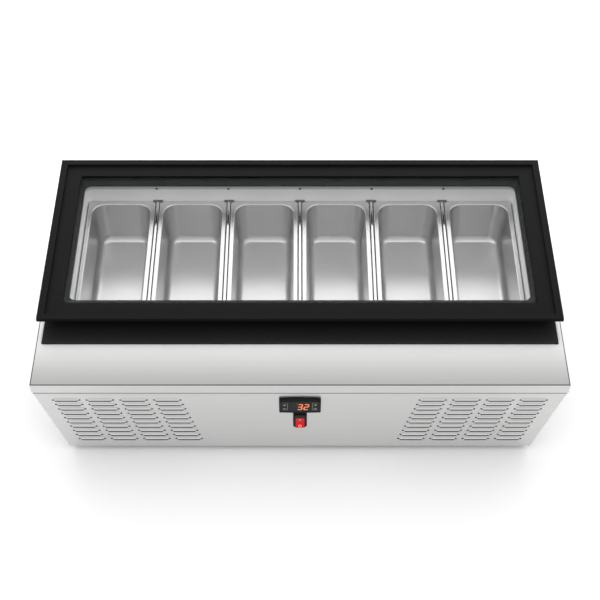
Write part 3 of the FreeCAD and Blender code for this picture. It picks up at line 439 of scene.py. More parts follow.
def apply(piece, kind, **settings):
    begin()
    piece.select_set(True)
    bpy.context.view_layer.objects.active = piece
    bpy.ops.object.modifier_add(type=kind)
    modifier = piece.modifiers[-1]
    for key, value in settings.items():
        setattr(modifier, key, value)
    bpy.ops.object.modifier_apply(modifier=modifier.name)


def soften(piece, width, segments=3, angle=30.0):
    apply(piece, "BEVEL", width=width, segments=segments, limit_method="ANGLE",
          angle_limit=math.radians(angle))
    smooth(piece)


def smooth(piece, angle=40.0):
    begin()
    piece.select_set(True)
    bpy.context.view_layer.objects.active = piece
    bpy.ops.object.shade_smooth_by_angle(angle=math.radians(angle))
    apply(piece, "WEIGHTED_NORMAL", keep_sharp=True)


def outwards(piece, doubles=0.00001):
    edit(piece, "VERT")
    bpy.ops.mesh.select_all(action="SELECT")
    bpy.ops.mesh.remove_doubles(threshold=doubles)
    bpy.ops.mesh.normals_make_consistent(inside=False)
    begin()


def copied(piece, name, move):
    begin()
    piece.select_set(True)
    bpy.context.view_layer.objects.active = piece
    bpy.ops.object.duplicate()
    twin = named(name)
    twin.location = Vector(move)
    return settle(twin)


def joined(pieces, name):
    begin()
    for piece in pieces:
        piece.select_set(True)
    bpy.context.view_layer.objects.active = pieces[0]
    if len(pieces) > 1:
        bpy.ops.object.join()
    return named(name)


def swept(name, loops):  # a frame made by drawing a rectangle out from loop to loop, back to the first
    begin()
    (x0, x1, y0, y1), z = loops[0]
    bpy.ops.mesh.primitive_plane_add(size=1.0, location=((x0 + x1) / 2, (y0 + y1) / 2, z))
    piece = named(name)
    piece.scale = (x1 - x0, y1 - y0, 1.0)
    settle(piece)
    edit(piece, "EDGE")
    bpy.ops.mesh.select_all(action="SELECT")
    bpy.ops.mesh.delete(type="ONLY_FACE")
    bpy.ops.mesh.select_all(action="SELECT")
    for (old, oldZ), (new, newZ) in zip(loops, loops[1:] + loops[:1]):
        shift = ((new[0] + new[1] - old[0] - old[1]) / 2, (new[2] + new[3] - old[2] - old[3]) / 2, newZ - oldZ)
        bpy.ops.mesh.extrude_region_move(TRANSFORM_OT_translate={"value": shift})
        ratio = ((new[1] - new[0]) / (old[1] - old[0]), (new[3] - new[2]) / (old[3] - old[2]), 1.0)
        middle = ((new[0] + new[1]) / 2, (new[2] + new[3]) / 2, newZ)
        bpy.ops.transform.resize(value=ratio, center_override=middle)
    outwards(piece)
    return piece


def widened(frameOutline, margin):
    x0, x1, y0, y1 = frameOutline
    return (x0 - margin, x1 + margin, y0 - margin, y1 + margin)


def outline(low, high, inset=0.0):
    return (low.x + inset, high.x - inset, low.y + inset, high.y - inset)


def finishPiece(piece, finish, body, replaced=()):
    if finish:
        piece.data.materials.clear()
        piece.data.materials.append(finishes[finish])
    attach(piece, body)
    if replaced:
        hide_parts(*replaced)
    return piece


# pans
panShape = {"rimWidth": 0.010, "mouthRadius": 0.032, "rimRadius": 0.008, "cornerSteps": 9, "draft": 0.009,
            "floorRadius": 0.0155, "floorSteps": 7, "lipDrop": 0.004, "edgeRadius": 0.0019, "sheet": 0.0008}


def makePan(name):
    low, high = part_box(name)
    rim = panShape["rimWidth"]
    steps = panShape["cornerSteps"]
    pan = block(name + "_drawn", low + Vector((rim, rim, 0)), high - Vector((rim, rim, 0)))
    pan.data.materials.append(finishes["panSteel"])
    pan.data.materials.append(finishes["panEdgeHighlight"])
    pick(pan, "EDGE", upright)
    bpy.ops.mesh.bevel(offset=panShape["mouthRadius"], segments=steps, affect="EDGES")
    pick(pan, "FACE", at(2, high.z))
    bpy.ops.mesh.delete(type="FACE")
    pick(pan, "VERT", lambda v: near(v.co.z, low.z))
    middle = (low + high) / 2
    width = high.x - low.x - 2 * rim
    length = high.y - low.y - 2 * rim
    draft = 2 * panShape["draft"]
    bpy.ops.transform.resize(value=(1 - draft / width, 1 - draft / length, 1), center_override=middle)
    pick(pan, "EDGE", at(2, low.z))
    bpy.ops.mesh.bevel(offset=panShape["floorRadius"], segments=panShape["floorSteps"], affect="EDGES")

    top = (middle.x, middle.y, high.z)
    bpy.ops.mesh.primitive_plane_add(size=1.0, location=top)
    bpy.ops.transform.resize(value=(high.x - low.x, high.y - low.y, 1), center_override=top)
    bpy.ops.mesh.bevel(offset=panShape["rimRadius"], segments=steps, affect="VERTICES")
    pick(pan, "FACE", at(2, high.z))
    bpy.ops.mesh.delete(type="ONLY_FACE")
    pick(pan, "EDGE", at(2, high.z))
    bpy.ops.mesh.bridge_edge_loops()
    pick(pan, "EDGE", lambda e: e.is_boundary)
    bpy.ops.mesh.extrude_region_move(TRANSFORM_OT_translate={"value": (0, 0, -panShape["lipDrop"])})
    outwards(pan)
    pick(pan, "EDGE", lambda e: at(2, high.z)(e) and not e.is_boundary
         and any(abs(f.normal.z) < 0.5 for f in e.link_faces))
    # painted highlight: the rounded mouth edge takes the lighter copy of the pan steel
    bpy.ops.mesh.bevel(offset=panShape["edgeRadius"], segments=4, affect="EDGES", material=1)
    if pick(pan, "FACE", lambda f: near(f.calc_center_median().z, low.z) and f.normal.z < 0):
        bpy.ops.mesh.select_all(action="SELECT")
        bpy.ops.mesh.flip_normals()
    apply(pan, "SOLIDIFY", thickness=panShape["sheet"], offset=-1.0)
    smooth(pan, 50.0)
    return pan


def makePans():
    first = makePan("pan_1")
    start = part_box("pan_1")[0]
    for i in range(1, 7):
        name = "pan_" + str(i)
        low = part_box(name)[0]
        pan = first if i == 1 else copied(first, name + "_drawn", (low.x - start.x, 0, 0))
        finishPiece(pan, None, name, [name])


makePans()
print("pans drawn")


# divider bars
barShape = {"width": 0.0075, "crown": 0.0022, "tabThick": 0.0024}


def makeBar(name):
    low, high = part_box(name)
    middle = (low.x + high.x) / 2
    reach = barShape["width"] / 2
    tab = barShape["tabThick"]
    rise = rimPlane
    bar = block(name + "_bar", (middle - reach, low.y + tab, low.z), (middle + reach, high.y - tab, rise))
    pick(bar, "EDGE", lambda e: at(2, rise)(e) and not near(ends(e)[0].y, ends(e)[1].y))
    bpy.ops.mesh.bevel(offset=barShape["crown"], segments=5, affect="EDGES")
    pieces = [bar]
    for y in (low.y, high.y - tab):
        plate = block(name + "_tab", (low.x, y, rise - 0.004), (high.x, y + tab, high.z))
        pick(plate, "EDGE", lambda e: near(ends(e)[0].x, ends(e)[1].x) and near(ends(e)[0].z, high.z)
             and near(ends(e)[1].z, high.z))
        bpy.ops.mesh.bevel(offset=0.001, segments=3, affect="EDGES")
        pieces.append(plate)
    # the tabs take the painted-shade copy of the pan steel
    for piece, finish in zip(pieces, ("barSteel", "tabShadedSteel", "tabShadedSteel")):
        piece.data.materials.append(finishes[finish])
    bar = joined(pieces, name + "_folded")
    smooth(bar, 50.0)
    return bar


def makeBars():
    for i in range(1, 6):
        name = "divider_bar_" + str(i)
        finishPiece(makeBar(name), None, "cabinet", [name])


makeBars()
print("divider bars folded")


# well liner
linerShape = {"corner": 0.014, "sheet": 0.001, "flange": 0.012, "floorRadius": 0.012, "floorInset": 0.016}


def makeLiner():
    low, high = linerLow, linerHigh
    flange = linerShape["flange"]
    sheet = linerShape["sheet"]
    x = high.x - flange
    y0, y1 = low.y + flange, high.y - flange
    floorX = x - linerShape["floorInset"]
    liner = block("well_liner_drawn", (-x, y0, low.z + sheet), (x, y1, high.z))
    pick(liner, "FACE", at(2, high.z))
    bpy.ops.mesh.delete(type="FACE")
    edit(liner, "VERT")
    bpy.ops.mesh.select_all(action="SELECT")
    bpy.ops.mesh.bisect(plane_co=(0, 0, rimPlane), plane_no=(0, 0, 1))
    pick(liner, "VERT", lambda v: near(v.co.z, low.z + sheet))
    bpy.ops.transform.resize(value=(floorX / x, 1, 1), center_override=(0, (y0 + y1) / 2, low.z))
    pick(liner, "EDGE", lambda e: abs(ends(e)[0].z - ends(e)[1].z) > 0.02)
    bpy.ops.mesh.bevel(offset=linerShape["corner"], segments=6, affect="EDGES")
    pick(liner, "EDGE", at(2, low.z + sheet))
    bpy.ops.mesh.bevel(offset=linerShape["floorRadius"], segments=4, affect="EDGES")
    pick(liner, "EDGE", lambda e: e.is_boundary)
    bpy.ops.mesh.extrude_region_move(TRANSFORM_OT_translate={"value": (0, 0, 0)})
    grow = ((x + flange) / x, (y1 - y0 + 2 * flange) / (y1 - y0), 1)
    bpy.ops.transform.resize(value=grow, center_override=(0, (y0 + y1) / 2, high.z))
    outwards(liner)
    if pick(liner, "FACE", lambda f: near(f.calc_center_median().z, low.z + sheet) and f.normal.z < 0):
        bpy.ops.mesh.select_all(action="SELECT")
        bpy.ops.mesh.flip_normals()
    apply(liner, "SOLIDIFY", thickness=sheet, offset=-1.0)
    smooth(liner, 50.0)
    finishPiece(liner, "linerSteel", "cabinet", ["well_liner"])


makeLiner()
print("well liner drawn")


# black surround, collar and lid frame
collarShape = {"plate": 0.0025, "wall": 0.003, "slope": 0.012, "skirt": 0.0025, "edge": 0.0012,
               "gasketMargin": 0.004, "gasketRear": 0.002, "corner": 0.014, "cornerSteps": 5}


def makeSurround():
    low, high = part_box("surround_collar")
    gasketLow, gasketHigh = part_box("lid_gasket")
    wall = collarShape["wall"]
    slope = collarShape["slope"]
    margin = collarShape["gasketMargin"]
    outer = outline(low, high)
    neck = (gasketLow.x - margin, gasketHigh.x + margin,
            gasketLow.y - margin, gasketHigh.y + collarShape["gasketRear"])
    mouth = outline(linerLow, linerHigh, linerShape["flange"])
    inside = widened(neck, -wall)
    throat = widened(mouth, -collarShape["skirt"])
    plateTop = capHigh.z + collarShape["plate"]
    top = high.z
    surround = swept("surround_moulding", [
        (outer, capHigh.z), (outer, plateTop), (neck, plateTop), (neck, top), (widened(mouth, slope), top),
        (throat, linerHigh.z), (throat, skirtEnd), (mouth, skirtEnd), (mouth, linerHigh.z),
        (widened(mouth, wall), linerHigh.z), (widened(mouth, slope + wall), top - wall), (inside, top - wall),
        (inside, capHigh.z)])
    pick(surround, "EDGE", lambda e: onThroat(e, mouth))
    bpy.ops.mesh.bevel(offset=collarShape["corner"], segments=collarShape["cornerSteps"], affect="EDGES")
    soften(surround, collarShape["edge"])
    finishPiece(surround, "blackPlastic", "cabinet", ["surround_collar"])


def onThroat(edge, mouth):  # the slanted or upright corner edges round the mouth
    a, b = ends(edge)
    reach = mouth[1] + collarShape["slope"] + collarShape["wall"] + 0.001
    return abs(a.z - b.z) > 0.002 and max(abs(a.x), abs(b.x)) < reach


lidShape = {"rimWidth": 0.016, "rimHeight": 0.0085, "edge": 0.010, "bodyInset": 0.024, "edgeRadius": 0.0011,
            "glassLap": 0.008, "grooveRoom": 0.0004}


def makeLidFrame():
    low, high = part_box("lid_frame")
    glassLow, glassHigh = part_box("lid_glass")
    lap = lidShape["glassLap"]
    window = outline(glassLow, glassHigh, lap)
    groove = outline(glassLow, glassHigh, -lidShape["grooveRoom"])
    outer = outline(low, high)
    rim = outline(low, high, lidShape["rimWidth"])
    body = outline(low, high, lidShape["bodyInset"])
    band = high.z - lidShape["rimHeight"]
    under = high.z - lidShape["edge"]
    lid = swept("lid_frame_moulding", [
        (outer, under), (outer, high.z), (rim, high.z), (rim, band), (window, band), (window, glassHigh.z),
        (groove, glassHigh.z), (groove, glassLow.z), (window, glassLow.z), (window, low.z), (body, low.z),
        (body, under)])
    soften(lid, lidShape["edgeRadius"])
    finishPiece(lid, "lidPlastic", "lid", ["lid_frame"])


makeSurround()
makeLidFrame()
print("surround and lid frame moulded")


# cabinet sheets
capShape = {"sheet": 0.0012, "fold": 0.0016, "holeInset": 0.008}


def makeTopCap():
    low, high = capLow, capHigh
    neckLow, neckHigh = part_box("lid_gasket")
    sheet = capShape["sheet"]
    room = capShape["holeInset"]
    hole = (neckLow.x + room, neckHigh.x - room, neckLow.y + room, neckHigh.y - room)
    outer = outline(low, high)
    inner = outline(low, high, sheet)
    cap = swept("top_cap_folded", [(outer, low.z), (outer, high.z), (hole, high.z), (hole, high.z - sheet),
                                   (inner, high.z - sheet), (inner, low.z)])
    pick(cap, "EDGE", lambda e: at(2, high.z)(e) and not near(abs(ends(e)[0].x), abs(hole[1]), 0.01)
         and abs(ends(e)[0].x) > hole[1] and abs(ends(e)[1].x) > hole[1])
    bpy.ops.mesh.bevel(offset=capShape["fold"], segments=4, affect="EDGES")
    smooth(cap, 50.0)
    finishPiece(cap, "capSteel", "cabinet", ["top_cap"])


louvre = {"columns": 4, "rows": 10, "length": 0.052, "pitchX": 0.074, "pitchZ": 0.0174, "firstDrop": 0.062,
          "edge": 0.0375, "height": 0.008, "proud": 0.0028, "relief": 0.0027, "reliefReach": 0.0289,
          "flat": 0.024, "reach": 0.0275, "skin": 0.0007, "shadowLip": 0.0036, "belly": 92, "slotTop": 0.005}
panelCuts = {"controller_housing": 0.004, "rocker_switch_housing": 0.003}


def sideAt(z):  # half-width of the cabinet at a height, read from the front panel's own slanted sides
    low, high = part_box("front_panel")
    bottom = max(v.co.x for v in nodes["front_panel"].data.vertices if near(v.co.z, low.z))
    share = min(1.0, (z - low.z) / (capLow.z - low.z))
    return bottom + (high.x - bottom) * share


def makeHood(face):
    tall = louvre["height"]
    reach = louvre["reach"]
    front = face - louvre["proud"]
    hood = block("louvre_hood", (-reach, front, 0), (reach, face + 0.0004, tall))
    for x in (-louvre["flat"], louvre["flat"]):
        edit(hood, "VERT")
        bpy.ops.mesh.select_all(action="SELECT")
        bpy.ops.mesh.bisect(plane_co=(x, 0, 0), plane_no=(1, 0, 0))
    pick(hood, "EDGE", lambda e: at(1, front)(e) and at(2, tall)(e))
    bpy.ops.mesh.bevel(offset_type="PERCENT", offset_pct=louvre["belly"], segments=4, affect="EDGES")
    pick(hood, "VERT", lambda v: near(abs(v.co.x), reach))
    bpy.ops.transform.resize(value=(1, 0.08, 0.5), center_override=(0, face, 0.7 * tall))
    pick(hood, "FACE", lambda f: abs(f.normal.z) > 0.9 and f.calc_center_median().z < 0.4 * tall
         or at(1, face + 0.0004)(f))
    bpy.ops.mesh.delete(type="FACE")
    # painted shadow: the hood's lowest band takes the near-black finish, standing in for the shadow under its lip
    edit(hood, "VERT")
    bpy.ops.mesh.select_all(action="SELECT")
    bpy.ops.mesh.bisect(plane_co=(0, 0, louvre["shadowLip"]), plane_no=(0, 0, 1))
    hood.data.materials.append(finishes["panelSteel"])
    hood.data.materials.append(finishes["dark"])
    pick(hood, "FACE", lambda f: f.calc_center_median().z < louvre["shadowLip"])
    hood.active_material_index = 1
    bpy.ops.object.material_slot_assign()
    apply(hood, "SOLIDIFY", thickness=louvre["skin"], offset=-1.0)
    smooth(hood, 60.0)
    return hood


def makeFrontPanel():
    low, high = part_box("front_panel")
    face = high.y - capShape["sheet"]
    front, back = face - 0.01, high.y + 0.01
    panel = block("front_panel_sheet", (-high.x, face, low.z), (high.x, high.y, high.z))
    edit(panel, "VERT")
    bpy.ops.mesh.select_all(action="SELECT")
    bpy.ops.mesh.bisect(plane_co=(0, 0, capLow.z), plane_no=(0, 0, 1))
    pick(panel, "VERT", lambda v: near(v.co.z, low.z))
    bpy.ops.transform.resize(value=(sideAt(low.z) / high.x, 1, 1), center_override=(0, face, low.z))
    begin()

    reach = louvre["length"] / 2 - 0.001
    relief = louvre["relief"]
    slot = block("slot_cut", (-reach, front, 0.0002), (reach, back, louvre["slotTop"]))
    dot = rod("relief_cut", (0, front, relief), (0, back, relief), relief, 12)
    panel.data.materials.append(finishes["panelSteel"])
    # painted shade: the cut walls of slots and relief holes take the near-black finish, standing in for the shade
    # inside
    for tool in (slot, dot):
        tool.data.materials.append(finishes["dark"])
    hood = makeHood(face)
    cuts = []
    hoods = []
    margin = capHigh.x - high.x - louvre["edge"] - louvre["length"] / 2
    for row in range(louvre["rows"]):
        z = capHigh.z - louvre["firstDrop"] - row * louvre["pitchZ"]
        for column in range(louvre["columns"]):
            x = sideAt(z) + margin - column * louvre["pitchX"]
            for side in (-1, 1):
                hoods.append(copied(hood, "hood", (side * x, 0, z)))
                cuts.append(copied(slot, "cut", (side * x, 0, z)))
                for end in (-1, 1):
                    cuts.append(copied(dot, "cut", (side * x + end * louvre["reliefReach"], 0, z)))
    for name, lap in panelCuts.items():
        boxLow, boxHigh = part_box(name)
        cuts.append(block("cut", (boxLow.x + lap, front, boxLow.z + lap),
                          (boxHigh.x - lap, back, boxHigh.z - lap)))
    cutter = joined(cuts, "panel_cuts")
    apply(panel, "BOOLEAN", object=cutter, operation="DIFFERENCE", solver="EXACT", material_mode="TRANSFER")
    smooth(panel, 30.0)
    begin()
    for spare in (cutter, slot, dot, hood):
        spare.select_set(True)
    bpy.ops.object.delete()
    panel = joined([panel] + hoods, "front_panel_pressed")
    finishPiece(panel, None, "cabinet", ["front_panel"])


boltShape = {"drop": 0.0095, "radius": 0.003, "proud": 0.0022, "sunk": 0.0005, "edge": 0.0004}


def makeBolts():  # one dark bolt high on the well's rear wall behind each divider
    y = linerHigh.y - linerShape["flange"]
    bolts = []
    for i in range(1, 6):
        low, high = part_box("divider_bar_" + str(i))
        x = (low.x + high.x) / 2
        z = skirtEnd - boltShape["drop"]
        bolt = rod("bolt", (x, y + boltShape["sunk"], z), (x, y - boltShape["proud"], z), boltShape["radius"], 6)
        bolts.append(bolt)
    bolts = joined(bolts, "liner_bolts")
    soften(bolts, boltShape["edge"], 2)
    finishPiece(bolts, "dark", "cabinet", ())


makeTopCap()
makeFrontPanel()
makeBolts()
print("cabinet sheets folded")


# controller
controllerShape = {"crown": 0.0022, "columns": 10, "corner": 0.0022, "slopeDeep": 0.0055, "border": 0.0022,
                   "sunk": 0.0008, "edge": 0.0005, "bezelBack": 0.0094, "caseSide": 0.007, "caseEnd": 0.005,
                   "digitWidth": 0.0116, "digitTall": 0.0225, "digitGap": 0.0022, "stroke": 0.0028,
                   "digitMiddle": 0.0070, "slant": 0.11, "printed": 0.00018, "line": 0.0006,
                   "markHalf": 0.0026}


def columnsOf(piece, low, high, count, axis=0):
    normal = [0, 0, 0]
    normal[axis] = 1
    for i in range(1, count):
        place = [0, 0, 0]
        place[axis] = low + (high - low) * i / count
        edit(piece, "VERT")
        bpy.ops.mesh.select_all(action="SELECT")
        bpy.ops.mesh.bisect(plane_co=place, plane_no=normal)


def makeBezel():
    low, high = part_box("controller_housing")
    look = controllerShape
    back = low.y + look["bezelBack"]
    bezel = block("controller_bezel", (low.x, low.y, low.z), (high.x, back, high.z))
    pick(bezel, "EDGE", lambda e: at(1, low.y)(e) and at(2, high.z)(e))
    bpy.ops.mesh.bevel(offset=look["slopeDeep"], segments=4, affect="EDGES")
    count = look["columns"]
    columnsOf(bezel, low.x, high.x, count)
    for i in range(count + 1):
        x = low.x + (high.x - low.x) * i / count
        drop = look["crown"] * (x / high.x) ** 2
        if drop:
            pick(bezel, "VERT", lambda v: near(v.co.x, x) and v.co.z > high.z - 2 * look["slopeDeep"])
            bpy.ops.transform.translate(value=(0, 0, -drop))
            pick(bezel, "VERT", lambda v: near(v.co.x, x) and v.co.z < low.z + 0.002)
            bpy.ops.transform.translate(value=(0, 0, drop * 0.6))
    pick(bezel, "FACE", lambda f: f.normal.y < -0.99)
    bpy.ops.mesh.inset(thickness=look["border"], depth=0.0, use_boundary=True)
    bpy.ops.mesh.extrude_region_move(TRANSFORM_OT_translate={"value": (0, look["sunk"], 0)})
    pick(bezel, "EDGE", lambda e: near(abs(ends(e)[0].x), high.x) and near(abs(ends(e)[1].x), high.x)
         and abs(ends(e)[0].y - ends(e)[1].y) > 0.0005)
    bpy.ops.mesh.bevel(offset=look["corner"], segments=4, affect="EDGES")
    outwards(bezel)
    side, end = look["caseSide"], look["caseEnd"]
    case = block("controller_case", (low.x + side, back, low.z + end), (high.x - side, high.y, high.z - end))
    soften(case, 0.002)
    bezel = joined([bezel, case], "controller_bezel_and_case")
    soften(bezel, look["edge"], 2)
    finishPiece(bezel, "controlPlastic", "cabinet", ["controller_housing"])
    return low.y + look["sunk"]


def makeSegment(low, high):
    segment = block("segment", low, high)
    pick(segment, "EDGE", lambda e: near(ends(e)[0].x, ends(e)[1].x) and near(ends(e)[0].z, ends(e)[1].z))
    bpy.ops.mesh.bevel(offset=min(high[0] - low[0], high[2] - low[2]) * 0.42, segments=1, affect="EDGES")
    return segment


def makeDigits(face, middleZ):
    look = controllerShape
    w, h, t = look["digitWidth"], look["digitTall"], look["stroke"]
    gap = 0.0005
    half = h / 2
    across = (t * 0.4, w - t * 0.4)
    upper = (t / 2 - gap, half - t * 0.45)
    lower = (t * 0.45 - half, gap - t / 2)
    strokes = {"top": (*across, half - t, half), "middle": (*across, -t / 2, t / 2),
               "bottom": (*across, -half, t - half), "upperRight": (w - t, w, *upper),
               "lowerRight": (w - t, w, *lower), "lowerLeft": (0, t, *lower)}
    shown = [("top", "middle", "bottom", "upperRight", "lowerRight"),
             ("top", "middle", "bottom", "upperRight", "lowerLeft")]
    pieces = []
    for i, names in enumerate(shown):
        start = look["digitMiddle"] + (i - 1) * w + (i - 0.5) * look["digitGap"]
        for name in names:
            x0, x1, z0, z1 = strokes[name]
            pieces.append(makeSegment((start + x0, face - look["printed"], middleZ + z0),
                                      (start + x1, face + 0.0002, middleZ + z1)))
    digits = joined(pieces, "display_digits")
    shape = sorted({round(v.co.z, 5) for v in digits.data.vertices})
    for z in shape:
        pick(digits, "VERT", lambda v: near(v.co.z, z, 0.00001))
        bpy.ops.transform.translate(value=((z - middleZ) * look["slant"], 0, 0))
    smooth(digits)
    finishPiece(digits, "digits", "cabinet", ())


def makeLens(face):
    low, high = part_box("display_lens")
    lens = block("display_window", (low.x, face - 0.0001, low.z), (high.x, face + 0.0008, high.z))
    pick(lens, "EDGE", lambda e: not near(ends(e)[0].y, ends(e)[1].y))
    bpy.ops.mesh.bevel(offset=0.002, segments=4, affect="EDGES")
    soften(lens, 0.0001, 2)
    finishPiece(lens, "lens", "cabinet", ["display_lens"])
    return (low.z + high.z) / 2


def makePrint(face):  # thin printed lines round the keys and small pilot marks over the digits
    look = controllerShape
    line = look["line"]
    upLow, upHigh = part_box("up_button")
    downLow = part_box("down_button")[0]
    edge = 0.0026
    y0, y1 = face - look["printed"], face + 0.0002
    pieces = []
    for side in (-1, 1):
        inner = side * (min(abs(upLow.x), abs(upHigh.x)) - edge)
        outer = side * (max(abs(upLow.x), abs(upHigh.x)) + edge * 0.4)
        x0, x1 = min(inner, outer), max(inner, outer)
        top = upHigh.z + edge
        bottom = downLow.z - edge
        pieces.append(block("line", (x0, y0, top - line), (x1, y1, top)))
        pieces.append(block("line", (x0, y0, bottom), (x1, y1, bottom + line)))
        pieces.append(block("line", (inner - line / 2, y0, bottom), (inner + line / 2, y1, top)))
    for x in (-0.008, 0.001, 0.011):
        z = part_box("display_lens")[1].z - 0.0022
        pieces.append(block("line", (x, y0, z), (x + 0.003, y1, z + line)))
    lines = joined(pieces, "printed_lines")
    soften(lines, 0.00008, 1)
    finishPiece(lines, "mark", "cabinet", ())


def makeKeyMarks():
    look = controllerShape
    half = look["markHalf"]
    for name in ("up", "down", "set", "light"):
        low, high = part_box(name + "_button")
        middle = (low + high) / 2
        y0, y1 = low.y - look["printed"], low.y + 0.0003
        if name in ("up", "down"):
            sign = 1 if name == "up" else -1
            left, right = middle.x - half, middle.x + half
            base = middle.z - sign * 0.0016
            pieces = [block("line", (left, y0, base - 0.0004), (right, y1, base + 0.0004))]
            arrow = block("arrow", (left, y0, middle.z - 0.0014), (right, y1, middle.z + 0.0022))
            pick(arrow, "VERT", lambda v: (v.co.z - middle.z) * sign > 0.001)
            bpy.ops.transform.resize(value=(0.12, 1, 1), center_override=tuple(middle))
            pieces.append(arrow)
        elif name == "set":
            pieces = []
            for z in (middle.z - 0.002, middle.z, middle.z + 0.002):
                pieces.append(block("line", (middle.x - half, y0, z), (middle.x + half, y1, z + 0.0008)))
        else:
            begin()
            bpy.ops.mesh.primitive_torus_add(major_radius=0.0022, minor_radius=0.0004, major_segments=24,
                                             minor_segments=8, location=(middle.x, low.y, middle.z),
                                             rotation=(math.pi / 2, 0, 0))
            pieces = [settle(named("ring"))]
        mark = joined(pieces, name + "_mark")
        smooth(mark)
        finishPiece(mark, "mark", name + "_button", ())


controlFace = makeBezel()
displayMiddle = makeLens(controlFace)
makeDigits(controlFace - 0.0001, displayMiddle)
makePrint(controlFace)
makeKeyMarks()
print("controller built")


# rocker switch
switchShape = {"corner": 0.005, "border": 0.0026, "sunk": 0.0012, "bezelDeep": 0.003, "hoodRoom": 0.0018,
               "hoodInset": 0.003, "caseInset": 0.004, "gap": 0.0004, "endGap": 0.0012, "dish": 0.003,
               "tilt": 0.0038, "levels": 10, "edge": 0.0006,
               "markWide": 0.0014, "markLow": 0.0062, "markHigh": 0.0112, "ring": 0.0030, "ringThick": 0.0005,
               "ringDrop": 0.0112, "backCut": 0.007, "backKept": 0.008, "backInset": 0.001}


def makeSwitchHousing():
    low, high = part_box("rocker_switch_housing")
    rockerLow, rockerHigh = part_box("rocker")
    look = switchShape
    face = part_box("front_panel")[1].y - capShape["sheet"]
    front = face - look["bezelDeep"]
    bezel = block("switch_bezel", (low.x, front, low.z), (high.x, face, high.z))
    pick(bezel, "EDGE", lambda e: not near(ends(e)[0].y, ends(e)[1].y) and ends(e)[0].z < low.z + 0.001)
    bpy.ops.mesh.bevel(offset=look["corner"], segments=1, affect="EDGES")
    pick(bezel, "FACE", lambda f: f.normal.y < -0.9)
    bpy.ops.mesh.inset(thickness=look["border"], depth=0.0)
    bpy.ops.mesh.extrude_region_move(TRANSFORM_OT_translate={"value": (0, look["sunk"], 0)})
    inset = look["hoodInset"]
    hood = block("switch_hood", (low.x + inset, low.y, rockerHigh.z + look["hoodRoom"]),
                 (high.x - inset, face - 0.0005, high.z - inset))
    pick(hood, "EDGE", lambda e: at(1, low.y)(e) and at(2, high.z - inset)(e))
    bpy.ops.mesh.bevel(offset=0.002, segments=4, affect="EDGES")
    inset = look["caseInset"]
    case = block("switch_case", (low.x + inset, face - 0.001, low.z + inset),
                 (high.x - inset, high.y, high.z - inset))
    joined([bezel, case], "switch_shell")
    room = block("room", (rockerLow.x - look["gap"], front - 0.03, rockerLow.z - look["endGap"]),
                 (rockerHigh.x + look["gap"], face + 0.018, rockerHigh.z + look["endGap"]))
    apply(bezel, "BOOLEAN", object=room, operation="DIFFERENCE", solver="EXACT", use_self=True)
    shell = joined([bezel, hood], "switch_housing_moulded")
    soften(shell, look["edge"], 2)
    begin()
    room.select_set(True)
    bpy.ops.object.delete()
    finishPiece(shell, "controlPlastic", "cabinet", ["rocker_switch_housing"])


def rockerFront(z):  # how far forward the dished, tilted face lies at a height
    low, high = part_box("rocker")
    share = (z - low.z) / (high.z - low.z)
    return low.y + switchShape["tilt"] * share + switchShape["dish"] * (1 - (2 * share - 1) ** 2)


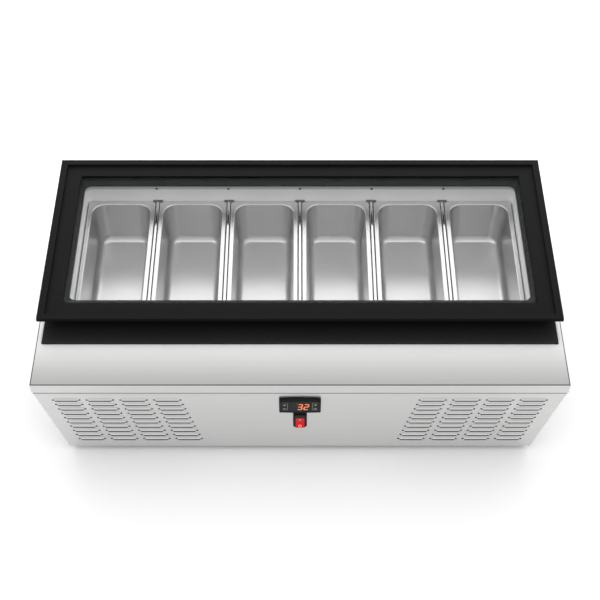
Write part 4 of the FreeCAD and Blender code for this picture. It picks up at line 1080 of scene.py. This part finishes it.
def makeRocker():
    low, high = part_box("rocker")
    look = switchShape
    back = high.y - look["backInset"]
    middle = (low.z + high.z) / 2
    rocker = block("rocker_moulded", (low.x, low.y, low.z), (high.x, back, high.z))
    columnsOf(rocker, low.z, high.z, look["levels"], axis=2)
    pick(rocker, "VERT", lambda v: near(v.co.y, back) and abs(v.co.z - middle) > look["backKept"])
    bpy.ops.transform.translate(value=(0, -look["backCut"], 0))
    for i in range(look["levels"] + 1):
        z = low.z + (high.z - low.z) * i / look["levels"]
        pick(rocker, "VERT", lambda v: near(v.co.z, z) and v.co.y < low.y + 0.0001)
        bpy.ops.transform.translate(value=(0, rockerFront(z) - low.y, 0))
    outwards(rocker)
    soften(rocker, look["edge"], 3)
    finishPiece(rocker, "red", "rocker", ["rocker"])

    topZ, endZ = middle + look["markLow"], middle + look["markHigh"]
    bar = block("bar", (-look["markWide"] / 2, -1, topZ), (look["markWide"] / 2, -0.9995, endZ))
    for z in (topZ, endZ):
        pick(bar, "VERT", lambda v: near(v.co.z, z))
        bpy.ops.transform.translate(value=(0, 1 + rockerFront(z) - 0.0002, 0))
    ringZ = middle - look["ringDrop"]
    step = 0.001
    rise = Vector((0, rockerFront(ringZ + step) - rockerFront(ringZ - step), 2 * step))
    normal = Vector((1, 0, 0)).cross(rise).normalized()
    begin()
    bpy.ops.mesh.primitive_torus_add(major_radius=look["ring"], minor_radius=look["ringThick"],
                                     major_segments=32, minor_segments=10, location=(0, rockerFront(ringZ), ringZ),
                                     rotation=normal.to_track_quat("Z", "Y").to_euler())
    ring = settle(named("ring"))
    marks = joined([bar, ring], "rocker_marks")
    smooth(marks)
    finishPiece(marks, "white", "rocker", ())


makeSwitchHousing()
makeRocker()
print("rocker switch built")


# finishes of the pieces that keep their frame mesh
cadFinish = {
    "steelAlongX": ["front_support_rail", "rear_support_rail"],
    "steelAlongY": ["left_side_panel", "right_side_panel"],
    "zinc": ["rear_panel", "base_tray", "bulkhead", "fan_bracket"],
    "rubber": ["feet", "compressor_grommets", "lid_gasket"],
    "foam": ["insulation_foam"],
    "copper": ["evaporator_coil", "discharge_tube", "suction_tube", "condenser_tube", "filter_drier"],
    "fin": ["condenser_fins"],
    "blackPlastic": ["relay_cover", "fan_shroud", "fan_blade", "power_inlet", "wiring_box"],
    "glass": ["lid_glass"],
    "key": ["up_button", "down_button", "set_button", "light_button"],
    "plated": ["left_hinge_cabinet_leaf", "left_hinge_lid_leaf", "right_hinge_cabinet_leaf",
               "right_hinge_lid_leaf", "hinge_pins", "hinge_screws", "rear_panel_screws", "temperature_probe"],
    "enamel": ["compressor", "fan_motor"],
}
for key, names in cadFinish.items():
    for name in names:
        nodes[name].data.materials.clear()
        nodes[name].data.materials.append(finishes[key])
print("frame pieces finished")
